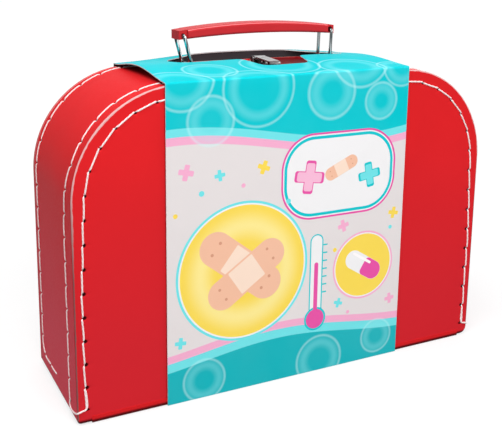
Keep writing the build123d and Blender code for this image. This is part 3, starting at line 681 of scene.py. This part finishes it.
# ---- handle fittings ----
# Bright plated steel: bent wire links, sheet brackets over their foot bars, rivets and backing plates,
# and the latch with its plate, pin, lever and strike, pressed from sheet.
def plated_steel(name, roughness, drawn, dark, bright):
    """Bright plating over steel, with dark lines along the drawn direction as painted reflections of dark
    surroundings: noise stretched along it by the scales given, and faint cloudy patches in the gloss."""
    material, tree, shader, where = finish_tree(name)
    lines = place(tree, "ShaderNodeMapping", {"Vector": where, "Scale": drawn}).outputs[0]
    spots = put(tree, mottle, Vector=where, Broad=120.0, Fine=1500.0)
    # Painted reflection: dark streaks along the drawn direction.
    shade = tint(tree, ramp(tree, noise(tree, lines, 1.0, 1.5), 0.47, 0.62), dark, bright)
    shade = tint(tree, ramp(tree, spots["Patches"], 0.45, 0.75, 0.0, 0.3), shade, (0.50, 0.52, 0.53))
    plug(tree, shader.inputs["Base Color"], shade)
    rough = ramp(tree, spots["Grain"], 0.3, 0.7, roughness * 0.7, roughness * 1.4)
    plug(tree, shader.inputs["Roughness"], rough)
    shader.inputs["Metallic"].default_value = 1.0
    return material


# The wire's dark streaks are teal-tinged painted reflections of dark surroundings and of the sleeve.
drawn_wire = plated_steel(
    "drawn_wire", 0.12, (900.0, 900.0, 18.0), (0.020, 0.035, 0.040), (0.72, 0.75, 0.76))
rolled_sheet = plated_steel(
    "rolled_sheet", 0.20, (160.0, 700.0, 160.0), (0.14, 0.13, 0.13), (0.56, 0.56, 0.56))
dress(drawn_wire, "handle_link_left", "handle_link_right")
dress(rolled_sheet, "handle_bracket_left", "handle_bracket_right", "handle_backing_plates", "handle_rivets",
      "latch_plate", "latch_pin", "latch_rivets", "latch_lever", "latch_strike", "strike_rivets")

# ---- grip ----
# Moulded red plastic, glossy, with the links' bars in bores near its ends. Its long upper edges carry a
# painted highlight in a paler red.
def moulded_plastic(name, colour, highlight_colour):
    """Glossy moulded plastic: one red with the faintest cloud in it, a painted highlight in a paler red where
    the surface turns equally sideways and up, and a skin that ripples a little."""
    material, tree, shader, where = finish_tree(name)
    spots = put(tree, mottle, Vector=where, Broad=55.0, Fine=700.0)
    shade = tint(tree, ramp(tree, spots["Patches"], 0.3, 0.7), [c * 0.93 for c in colour], colour)
    # Painted highlight along the long upper edges.
    facing = place(tree, "ShaderNodeTexCoord").outputs["Normal"]
    turned = place(tree, "ShaderNodeSeparateXYZ", {0: facing}).outputs
    sideways = place(tree, "ShaderNodeMath", {0: turned[1]}, operation="ABSOLUTE").outputs[0]
    edge_highlight = ramp(tree, sums(tree, "MULTIPLY", sideways, turned[2]), 0.43, 0.50, 0.0, 0.55, kind="SMOOTHSTEP")
    sockets = {"Base Color": tint(tree, edge_highlight, shade, highlight_colour), "Specular IOR Level": 0.012,
               "Roughness": ramp(tree, spots["Grain"], 0.3, 0.7, 0.26, 0.32)}
    coat(tree, shader, sockets, spots["Patches"], 0.15, 0.0004)
    return material


dress(moulded_plastic("red_plastic", (0.60, 0.028, 0.034), (0.95, 0.40, 0.42)), "handle_grip")

# ---- printed card sleeve ----
# One sheet of thin glossy card, folded round the case and glued at the rear top edge. A slot in its
# top lets the handle through, with a wider notch for the latch. It is loose, so its top bows up.
SLEEVE = 0.0006
SLEEVE_LEFT = -0.0906
SLEEVE_RIGHT = 0.0815
SLEEVE_FRONT = -0.0473
SLEEVE_SEAM = 0.0466
SLEEVE_BACK = 0.0473
FOLD_RADIUS = 0.0011
FOLD_BEND = np.radians([18, 36, 54, 72, 90])
SLEEVE_LOW = 0.0004
PANEL_STEPS = 40
TOP_STEPS = 12
FRONT_RISE = (0.0008, 0.0022)
SEAM_RISE = (0.0004, 0.0050)
SEAM_HUMP = (0.004, 0.068)
TOP_BOW = (
    (-0.0906, 0.0046), (-0.062, 0.0032), (-0.03, 0.0022), (0.0, 0.0019), (0.03, 0.0023), (0.06, 0.0028),
    (0.0815, 0.0027))
SLOT_FRONT_EDGE = (
    (-0.0630, 0.0205), (-0.0615, 0.0105), (-0.0590, 0.0062), (-0.0545, 0.0048), (-0.0190, 0.0068),
    (-0.0168, 0.0058), (-0.0150, 0.0032), (-0.0125, -0.0130), (-0.0110, -0.0164), (-0.0080, -0.0180),
    (0.0190, -0.0180), (0.0222, -0.0162), (0.0240, -0.0125), (0.0285, 0.0042), (0.0300, 0.0074),
    (0.0325, 0.0088), (0.0610, 0.0110), (0.0660, 0.0125), (0.0700, 0.0160), (0.0730, 0.0215))
SLOT_BACK_EDGE = (
    (-0.0630, 0.0205), (-0.0580, 0.0310), (-0.0340, SLEEVE_SEAM), (0.0390, SLEEVE_SEAM),
    (0.0640, 0.0290), (0.0730, 0.0215))
# Painted shade: the sleeve's grey board inside is near black, for the shade within it.
SLEEVE_INSIDE_SHADE = (0.055, 0.050, 0.055)
SLEEVE_CORE = (0.80, 0.78, 0.78)
TEAL = (0.004, 0.56, 0.62)
TEAL_LOW = (0.012, 0.45, 0.50)
TEAL_LIGHT = (0.17, 0.76, 0.80)
PINK = (0.90, 0.42, 0.62)
HOT_PINK = (0.80, 0.09, 0.38)
PALE = (0.77, 0.72, 0.72)
YELLOW = (0.95, 0.70, 0.10)
PEACH = (0.90, 0.52, 0.36)
WHITE = (0.88, 0.87, 0.88)


def sleeve_top(x, y):
    """Height of the sleeve's top: a line from the front fold to the seam, bent to follow a hump of the seam
    that falls off with the cube of the distance, plus an arch across it whose rise differs along the case."""
    front = np.interp(x, (SLEEVE_LEFT, SLEEVE_RIGHT), FRONT_RISE)
    seam = SEAM_RISE[0] + SEAM_RISE[1] * np.exp(-np.abs((x - SEAM_HUMP[0]) / SEAM_HUMP[1]) ** 3)
    across = ((y - SLEEVE_FRONT) / (SLEEVE_SEAM - SLEEVE_FRONT)).clip(0, 1)
    arch = np.interp(x, *zip(*TOP_BOW)) * np.sin(np.pi * across).clip(0, 1) ** 1.5
    return CASE_TOP + SLEEVE / 2 + front * (1 - across) + seam * across ** 1.5 + arch


def sleeve_stations():
    """Places along the sleeve: close together round the slot's corners."""
    corners = np.array([p[0] for p in SLOT_FRONT_EDGE + SLOT_BACK_EDGE])
    even = np.linspace(SLEEVE_LEFT, SLEEVE_RIGHT, 58)
    ends = np.array([SLEEVE_LEFT + 0.0004, SLEEVE_RIGHT - 0.0004])
    return np.unique(np.round(np.concatenate([corners, even, ends]), 5))


def front_leaf():
    """Mid-surface of the front leaf, as stations by steps up the front, round the fold, back to the slot's
    front edge, and on from its back edge to the seam; with the print's own coordinates in millimetres."""
    x = sleeve_stations()
    slot_front, slot_back = (np.interp(x, *zip(*edge)) for edge in (SLOT_FRONT_EDGE, SLOT_BACK_EDGE))
    fold_y = SLEEVE_FRONT + FOLD_RADIUS
    fold_top = sleeve_top(x, np.full_like(x, fold_y))
    fold_low = fold_top[:, None] - FOLD_RADIUS
    panel_z = SLEEVE_LOW + (fold_low - SLEEVE_LOW) * np.linspace(0, 1, PANEL_STEPS)
    panel_y = np.full_like(panel_z, SLEEVE_FRONT)
    bend_z = fold_low + FOLD_RADIUS * np.sin(FOLD_BEND)
    bend_y = fold_y - FOLD_RADIUS * np.cos(FOLD_BEND) + 0 * bend_z
    to_slot = fold_y + (slot_front[:, None] - fold_y) * np.linspace(0, 1, TOP_STEPS + 1)[1:]
    past_slot = slot_back[:, None] + (SLEEVE_SEAM - slot_back[:, None]) * np.linspace(0, 1, 8)
    top_y = np.concatenate([to_slot, past_slot], 1)
    top_z = sleeve_top(x[:, None] + 0 * top_y, top_y)
    y = np.concatenate([panel_y, bend_y, top_y], 1)
    z = np.concatenate([panel_z, bend_z, top_z], 1)
    grid = np.stack([x[:, None] + 0 * y, y, z], 2)
    step = np.hypot(np.diff(y, axis=1), np.diff(z, axis=1))
    run = np.concatenate([np.zeros((len(x), 1)), np.cumsum(step, 1)], 1)
    print_at = np.stack([grid[:, :, 0], run + SLEEVE_LOW, 0 * run], 2) * 1e3
    keep = np.ones((len(x) - 1, y.shape[1] - 1), bool)
    hole = (x[:-1] >= SLOT_FRONT_EDGE[0][0] - 1e-6) & (x[1:] <= SLOT_FRONT_EDGE[-1][0] + 1e-6)
    keep[hole, PANEL_STEPS + len(FOLD_BEND) + TOP_STEPS - 1] = False
    return grid, print_at, keep


def two_skins(grid, thickness):
    """The sheet's outside and inside: its grid moved half a thickness along the normals, which are the
    cross products of the steps along it and across it."""
    along = np.gradient(grid, axis=0)
    across = np.gradient(grid, axis=1)
    flat = np.linalg.norm(across, axis=2) < 1e-7
    across[flat] = (0, 1, 0)
    normal = np.cross(along, across)
    normal /= np.linalg.norm(normal, axis=2)[:, :, None]
    return grid + normal * thickness / 2, grid - normal * thickness / 2


def sleeve_leaf(name, grid, print_at, keep, body):
    """A leaf of the sleeve as a slab, with the print's coordinates, and 1 on its outside and 0 inside."""
    outside, inside = two_skins(grid, SLEEVE if body == "lid" else -SLEEVE)
    count = grid.shape[0] * grid.shape[1]
    both = np.tile(print_at.reshape(-1, 3), (2, 1))
    leaf = slab(name, outside, inside, keep, body, print_at=both, skin=np.repeat([1.0, 0.0], count))
    sharpen(leaf)
    return leaf


# A printed shape is a box with rounded corners, turned by an angle: its distance is negative inside.
print_shape, given, result = effect_group(
    "print_shape",
    {"Vector": "vector", "Centre": "vector", "Half Size": "vector", "Corner": "value", "Angle": "value"},
    {"Distance": "value"})


def aim(operation, *values):
    """The result of a Vector Math node of the printed shape."""
    return place(print_shape, "ShaderNodeVectorMath", dict(enumerate(values)), operation=operation).outputs


sockets = {"Vector": aim("SUBTRACT", given["Vector"], given["Centre"])[0], "Angle": given["Angle"]}
turned = place(print_shape, "ShaderNodeVectorRotate", sockets, rotation_type="Z_AXIS").outputs[0]
beyond = aim("SUBTRACT", aim("ABSOLUTE", turned)[0], given["Half Size"])[0]
reach = aim("LENGTH", aim("MAXIMUM", beyond, (0, 0, 0))[0])["Value"]
split = place(print_shape, "ShaderNodeSeparateXYZ", {0: beyond}).outputs
inner_part = sums(print_shape, "MINIMUM", sums(print_shape, "MAXIMUM", split[0], split[1]), 0.0)
whole = sums(print_shape, "SUBTRACT", sums(print_shape, "ADD", reach, inner_part), given["Corner"])
print_shape.links.new(whole, result["Distance"])


# The print, back to front. Each shape: centre, half size, corner radius (mm), ink, angle (degrees),
# softness (a hard edge where it is None, else a soft ring of that width round the corner radius) and
# strength.
def bar(centre, half_size, corner, ink, angle=0):
    """A hard-edged bar with round corners."""
    return [(centre, half_size, corner, ink, angle, None, 1)]


def disc(centre, radius, ink):
    """A hard-edged disc."""
    return bar(centre, (0, 0), radius, ink)


def swirl(centre, radius, width):
    """A thin pale ring and a broad soft one inside it."""
    return [(centre, (0, 0), radius, (0.60, 0.92, 0.94), 0, width, 0.34),
            (centre, (0, 0), radius * 0.72, (0.30, 0.86, 0.90), 0, width * 3.5, 0.25)]


def plus(centre, size, ink, angle=0):
    """A plus sign: a level and an upright bar with rounded ends."""
    corner = size * 0.16
    long, short = size - corner, size * 0.34 - corner
    return bar(centre, (long, short), corner, ink, angle) + bar(centre, (short, long), corner, ink, angle)


def plaster(centre, length, angle):
    """A sticking plaster: a peach strip with round ends, a paler pad, and air holes at both ends."""
    width = length * 0.34
    strip = bar(centre, (length / 2 - width / 2, 0), width / 2, PEACH, angle)
    strip += bar(centre, (length * 0.15, width * 0.40), 0.8, (0.96, 0.74, 0.60), angle)
    turn = math.radians(angle)
    cosine, sine = math.cos(turn), math.sin(turn)
    for along, across in ((-0.33, -0.2), (-0.33, 0.2), (0.33, -0.2), (0.33, 0.2)):
        dx, dz = along * length, across * width
        spot = (centre[0] + dx * cosine + dz * sine, centre[1] - dx * sine + dz * cosine)
        strip += disc(spot, length * 0.016, (0.70, 0.33, 0.22))
    return strip


def rims(make, *sizes_and_inks):
    """The same shape in several sizes, the largest at the bottom."""
    return sum((make(size, ink) for size, ink in sizes_and_inks), [])


swirls = sum((swirl(*ring) for ring in (
    ((-62, 178), 15, 1.6), ((-30, 196), 24, 1.4), ((22, 190), 17, 1.8), ((60, 182), 12, 1.5),
    ((44, 214), 22, 1.6), ((-52, 226), 17, 1.5), ((76, 206), 15, 1.3), ((-80, 205), 20, 1.5),
    ((-66, 12), 14, 1.4), ((18, 8), 17, 1.5), ((64, 16), 12, 1.3), ((0, 232), 26, 1.3))), [])
# A badge at the upper right: pink and turquoise rims round a pale oval with signs and a plaster.
badge = rims(lambda corner, ink: bar((30, 136), (20, 5), corner, ink),
             (23.5, HOT_PINK), (22.2, WHITE), (21.4, TEAL), (19.4, WHITE))
badge += rims(lambda size, ink: plus((7, 136), size, ink, 8), (11.0, HOT_PINK), (9.2, (0.93, 0.50, 0.68)))
badge += plaster((31, 140), 26, -24)
badge += rims(lambda size, ink: plus((53, 133), size, ink, -10), (8.6, TEAL), (7.0, TEAL_LIGHT))
# A large yellow disc at the lower left, with a glow and crossed plasters.
pictures = rims(lambda radius, ink: disc((-39, 80), radius, ink),
                (46, TEAL_LIGHT), (44.4, WHITE), (43.4, YELLOW))
pictures += [((-39, 80), (0, 0), 30, (0.98, 0.84, 0.34), 0, 12, 0.8)]
pictures += plaster((-41, 84), 66, 38) + plaster((-37, 78), 60, -34)
# A small yellow disc at the right, with a capsule.
pictures += rims(lambda radius, ink: disc((51, 70), radius, ink), (24, PINK), (22.8, WHITE), (22.0, YELLOW))
pictures += bar((51, 70), (9, 0), 6.5, WHITE, 32) + bar((57.6, 65.9), (1.2, 0), 6.4, HOT_PINK, 32)
pictures += bar((54.5, 67.8), (1.6, 3.6), 2.8, HOT_PINK, 32)
pictures += bar((50, 75), (7.5, 0), 0.9, (1.0, 0.96, 0.96), 32)
# A thermometer between them.
pictures += rims(lambda corner, ink: bar((14, 64), (0, 28), corner, ink), (5.0, TEAL), (4.1, WHITE))
pictures += rims(lambda radius, ink: disc((14, 38), radius, ink), (8.2, TEAL), (6.8, HOT_PINK))
pictures += bar((14, 56), (0, 20), 1.5, HOT_PINK)
pictures += sum((bar((20.6, 56 + 5.5 * mark), (1.2, 0), 0.5, TEAL) for mark in range(7)), [])
# Little plus signs and dots over the pale ground.
confetti = sum((plus(*sign) for sign in (
    ((-78, 148), 5.0, PINK, 12), ((-56, 144), 3.6, TEAL_LIGHT, -8), ((-26, 146), 4.4, YELLOW, 20),
    ((-82, 40), 3.8, TEAL_LIGHT, 5), ((34, 100), 4.2, PINK, -14), ((74, 104), 4.0, YELLOW, 10),
    ((32, 46), 3.4, TEAL_LIGHT, 16), ((74, 42), 3.8, PINK, -6))), [])
confetti += sum((disc(*dot) for dot in (
    ((-68, 134), 1.8, TEAL_LIGHT), ((-40, 136), 1.4, PINK), ((-8, 122), 1.7, TEAL_LIGHT),
    ((-85, 122), 1.5, YELLOW), ((28, 84), 1.5, YELLOW), ((72, 94), 1.4, TEAL_LIGHT),
    ((40, 38), 1.3, PINK))), [])
# The print is cut into zones, each with only the shapes that come within a margin of it.
PRINT_ACROSS = (-120, 2, 120)
PRINT_UP = (-20, 126, 172, 420)
ZONE_MARGIN = 6
# The bands' edges, counted up from a wave: where, and the ink above.
LOW_BANDS = ((25, TEAL_LIGHT), (31, PINK), (36, PALE))
HIGH_BANDS = ((158, PINK), (163, TEAL_LIGHT), (168, TEAL))
EDGE_BLUR = 0.2
SHAPE_BLUR = 0.12


def sleeve_finish(name, shapes, zone):
    """Glossy printed card for one zone of it, (x, y) to (x, y) in the print's millimetres: turquoise above
    and below a pale middle, edged with light turquoise and pink in a long wave, and the shapes that reach
    into the zone. White where the card is cut, and grey board inside darkened to near black as painted shade."""
    material, tree, shader, where = finish_tree(name)
    at = attribute(tree, "print_at", "Vector")
    skin = attribute(tree, "skin")
    axes = place(tree, "ShaderNodeSeparateXYZ", {0: at}).outputs
    colour = TEAL_LOW
    for bands, shift, pace, swing in ((LOW_BANDS, -40.0, 0.03, 5.0), (HIGH_BANDS, 20.0, 0.026, 7.0)):
        phase = sums(tree, "MULTIPLY", sums(tree, "ADD", axes[0], shift), pace)
        wave = place(tree, "ShaderNodeMath", {0: phase}, operation="SINE").outputs[0]
        level = sums(tree, "ADD", axes[1], sums(tree, "MULTIPLY", wave, swing))
        for edge, ink in bands:
            colour = tint(tree, ramp(tree, level, edge - EDGE_BLUR, edge + EDGE_BLUR), colour, ink)
    for centre, half_size, corner, ink, angle, soft, strength in shapes:
        reach = math.hypot(*half_size) + corner + (soft or 0)
        if any(centre[k] + reach < zone[0][k] or centre[k] - reach > zone[1][k] for k in (0, 1)):
            continue
        shape = put(tree, print_shape, Vector=at, Centre=(*centre, 0.0), Half_Size=(*half_size, 0.0),
                    Corner=corner, Angle=math.radians(angle))["Distance"]
        if soft:
            off = place(tree, "ShaderNodeMath", {0: shape}, operation="ABSOLUTE").outputs[0]
            mask = ramp(tree, off, 0.0, soft, strength, 0.0, kind="SMOOTHSTEP")
        else:
            mask = ramp(tree, shape, -SHAPE_BLUR, SHAPE_BLUR, strength, 0.0)
        colour = tint(tree, mask, colour, ink)
    cloud = put(tree, mottle, Vector=where, Broad=22.0, Fine=1200.0)
    colour = tint(tree, ramp(tree, cloud["Patches"], 0.35, 0.75, 0.0, 0.02), colour, (0.75, 0.80, 0.82))
    colour = tint(tree, ramp(tree, skin, 0.90, 0.97), SLEEVE_CORE, colour)
    # Painted shade: near-black grey on the inside of the sleeve.
    colour = tint(tree, ramp(tree, skin, 0.03, 0.10), SLEEVE_INSIDE_SHADE, colour)
    sockets = {"Base Color": colour, "Roughness": ramp(tree, skin, 0.5, 0.9, 0.85, 0.34),
               "Specular IOR Level": 0.004}
    coat(tree, shader, sockets, uneven(tree, cloud, 2.0, 0.03), 0.3, 0.0008)
    return material


def print_sleeve(leaf, name, shapes):
    """One material per zone of the print, given to the faces whose middle lies in the zone."""
    mesh = leaf.data
    at = np.zeros(len(mesh.vertices) * 3, np.float32)
    mesh.attributes["print_at"].data.foreach_get("vector", at)
    corners = np.zeros(len(mesh.loops), np.int32)
    mesh.loops.foreach_get("vertex_index", corners)
    starts = np.zeros(len(mesh.polygons), np.int32)
    mesh.polygons.foreach_get("loop_start", starts)
    sizes = np.diff(np.append(starts, len(corners)))
    middle = np.add.reduceat(at.reshape(-1, 3)[corners], starts, axis=0) / sizes[:, None]
    column = np.searchsorted(PRINT_ACROSS[1:-1], middle[:, 0])
    row = np.searchsorted(PRINT_UP[1:-1], middle[:, 1])
    across = len(PRINT_ACROSS) - 1
    for k in range(across * (len(PRINT_UP) - 1)):
        i, j = k % across, k // across
        zone = ((PRINT_ACROSS[i] - ZONE_MARGIN, PRINT_UP[j] - ZONE_MARGIN),
                (PRINT_ACROSS[i + 1] + ZONE_MARGIN, PRINT_UP[j + 1] + ZONE_MARGIN))
        mesh.materials.append(sleeve_finish(f"{name}_{i}_{j}", shapes, zone))
    mesh.polygons.foreach_set("material_index", (column + across * row).astype(np.int32))
    mesh.update()


sleeve_front = sleeve_leaf("sleeve_front_leaf", *front_leaf(), "lid")
print_sleeve(sleeve_front, "sleeve_print_front", swirls + badge + pictures + confetti)
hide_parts("sleeve_front")


def back_leaf():
    """Mid-surface of the back leaf: back along the bottom, round the fold and up the back to the seam."""
    x = np.linspace(SLEEVE_LEFT, SLEEVE_RIGHT, 40)
    front = -HALF_DEPTH - SLEEVE / 2
    bottom_y = front + (SLEEVE_BACK - FOLD_RADIUS - front) * np.linspace(0, 1, 20)
    low_y = np.concatenate([bottom_y, SLEEVE_BACK - FOLD_RADIUS * (1 - np.sin(FOLD_BEND))])
    low_z = SLEEVE / 2 + np.concatenate([0 * bottom_y, FOLD_RADIUS * (1 - np.cos(FOLD_BEND))])
    seam = sleeve_top(x, np.full_like(x, SLEEVE_SEAM)) + SLEEVE / 2
    back_z = low_z[-1] + (seam[:, None] - low_z[-1]) * np.linspace(0, 1, 36)[1:]
    low_y, low_z = (np.broadcast_to(values, (len(x), len(values))) for values in (low_y, low_z))
    y = np.concatenate([low_y, np.full_like(back_z, SLEEVE_BACK)], 1)
    z = np.concatenate([low_z, back_z], 1)
    grid = np.stack([x[:, None] + 0 * y, y, z], 2)
    print_at = np.stack([-grid[:, :, 0], z, 0 * z], 2) * 1e3
    return grid, print_at, np.ones((len(x) - 1, y.shape[1] - 1), bool)


sleeve_back = sleeve_leaf("sleeve_back_leaf", *back_leaf(), "base")
print_sleeve(sleeve_back, "sleeve_print_back", swirls + confetti)
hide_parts("sleeve_back")

# ---- floor, light and camera ----
# A pale sheet of paper under the case, four soft lamps round it and a pale room. The paper glows to white
# away from the case, where it is seen itself or in gloss, but it throws none of that on the case.
IMAGE_WIDTH = 503
IMAGE_HEIGHT = 444
CAMERA = {"azimuth": -27.046, "elevation": 12.006, "roll": 0.744, "distance": 0.572298,
          "aim": (-0.010688, 0.0, 0.157751), "pixels": 851.914, "axis_row": 132.0}
GLOW_RADII = (0.20, 0.50)
ROOM_LIGHT = 0.34
LAMP_AIM = (0, 0, 0.15)
LOW_LAMP_AIM = (0, 0, 0.12)

floor_mesh = bpy.data.meshes.new("floor")
floor_mesh.from_pydata([(-6, -6, 0), (6, -6, 0), (6, 6, 0), (-6, 6, 0)], [], [(0, 1, 2, 3)])
floor = bpy.data.objects.new("floor", floor_mesh)
bpy.context.scene.collection.objects.link(floor)


def seen_or_mirrored(tree):
    """1 for rays from the camera, off gloss or through glass, and 0 for the light that falls on things."""
    path = place(tree, "ShaderNodeLightPath").outputs
    rays = sums(tree, "ADD", *(path[f"Is {kind} Ray"] for kind in ("Camera", "Glossy", "Transmission")))
    return ramp(tree, rays, 0, 1)


paper, tree, shader, where = finish_tree("floor_paper")
shader.inputs["Roughness"].default_value = 0.9
shader.inputs["Specular IOR Level"].default_value = 0.0
shader.inputs["Emission Color"].default_value = (1, 1, 1, 1)
away = place(tree, "ShaderNodeVectorMath", {0: where}, operation="LENGTH").outputs["Value"]
glow = ramp(tree, away, *GLOW_RADII, 0.66, 1.0, kind="SMOOTHSTEP")
plug(tree, shader.inputs["Emission Strength"], sums(tree, "MULTIPLY", seen_or_mirrored(tree), glow))
dimmed = ramp(tree, away, *GLOW_RADII, kind="SMOOTHSTEP")
plug(tree, shader.inputs["Base Color"], tint(tree, dimmed, (0.33, 0.33, 0.33), (0.05, 0.05, 0.05)))
floor_mesh.materials.append(paper)

world = bpy.data.worlds.new("pale_room")
bpy.context.scene.world = world
world.use_nodes = True
room = world.node_tree
background = next(n for n in room.nodes if n.type == "BACKGROUND")
background.inputs["Color"].default_value = (1, 1, 1, 1)
plug(room, background.inputs["Strength"], ramp(room, seen_or_mirrored(room), 0, 1, ROOM_LIGHT, 1.0))


def soft_lamp(name, place_at, aim_at, size, watts):
    """A square area lamp turned towards a point."""
    data = bpy.data.lights.new(name, "AREA")
    data.size = size
    data.energy = watts
    lamp = bpy.data.objects.new(name, data)
    bpy.context.scene.collection.objects.link(lamp)
    lamp.location = place_at
    lamp.rotation_mode = "QUATERNION"
    lamp.rotation_quaternion = (Vector(aim_at) - Vector(place_at)).to_track_quat("-Z", "Y")
    return lamp


soft_lamp("key_lamp", (-0.06, -0.78, 0.57), LAMP_AIM, 0.5, 5.0)
soft_lamp("left_lamp", (-0.54, -0.33, 1.34), LAMP_AIM, 0.9, 12.5)
soft_lamp("right_lamp", (1.20, -0.60, 0.70), LOW_LAMP_AIM, 1.0, 4.0)
rear_lamp = soft_lamp("rear_lamp", (0.30, 1.45, 0.55), LOW_LAMP_AIM, 1.0, 10.0)
rear_lamp.visible_glossy = False

azimuth, elevation, roll = (math.radians(CAMERA[k]) for k in ("azimuth", "elevation", "roll"))
level = Vector((math.cos(azimuth), math.sin(azimuth), 0))
ahead = Vector((-math.sin(azimuth), math.cos(azimuth), 0))
back = Vector((0, 0, math.sin(elevation))) - ahead * math.cos(elevation)
upright = back.cross(level)
right = level * math.cos(roll) + upright * math.sin(roll)
up = upright * math.cos(roll) - level * math.sin(roll)
camera_data = bpy.data.cameras.new("camera")
camera_data.lens = CAMERA["pixels"] * camera_data.sensor_width / IMAGE_WIDTH
camera_data.shift_y = (CAMERA["axis_row"] - IMAGE_HEIGHT / 2) / IMAGE_WIDTH
camera = bpy.data.objects.new("camera", camera_data)
bpy.context.scene.collection.objects.link(camera)
position = Vector(CAMERA["aim"]) + back * CAMERA["distance"]
camera.matrix_world = Matrix.Translation(position) @ Matrix((right, up, back)).transposed().to_4x4()
bpy.context.scene.camera = camera
bpy.context.scene.view_settings.view_transform = "Standard"
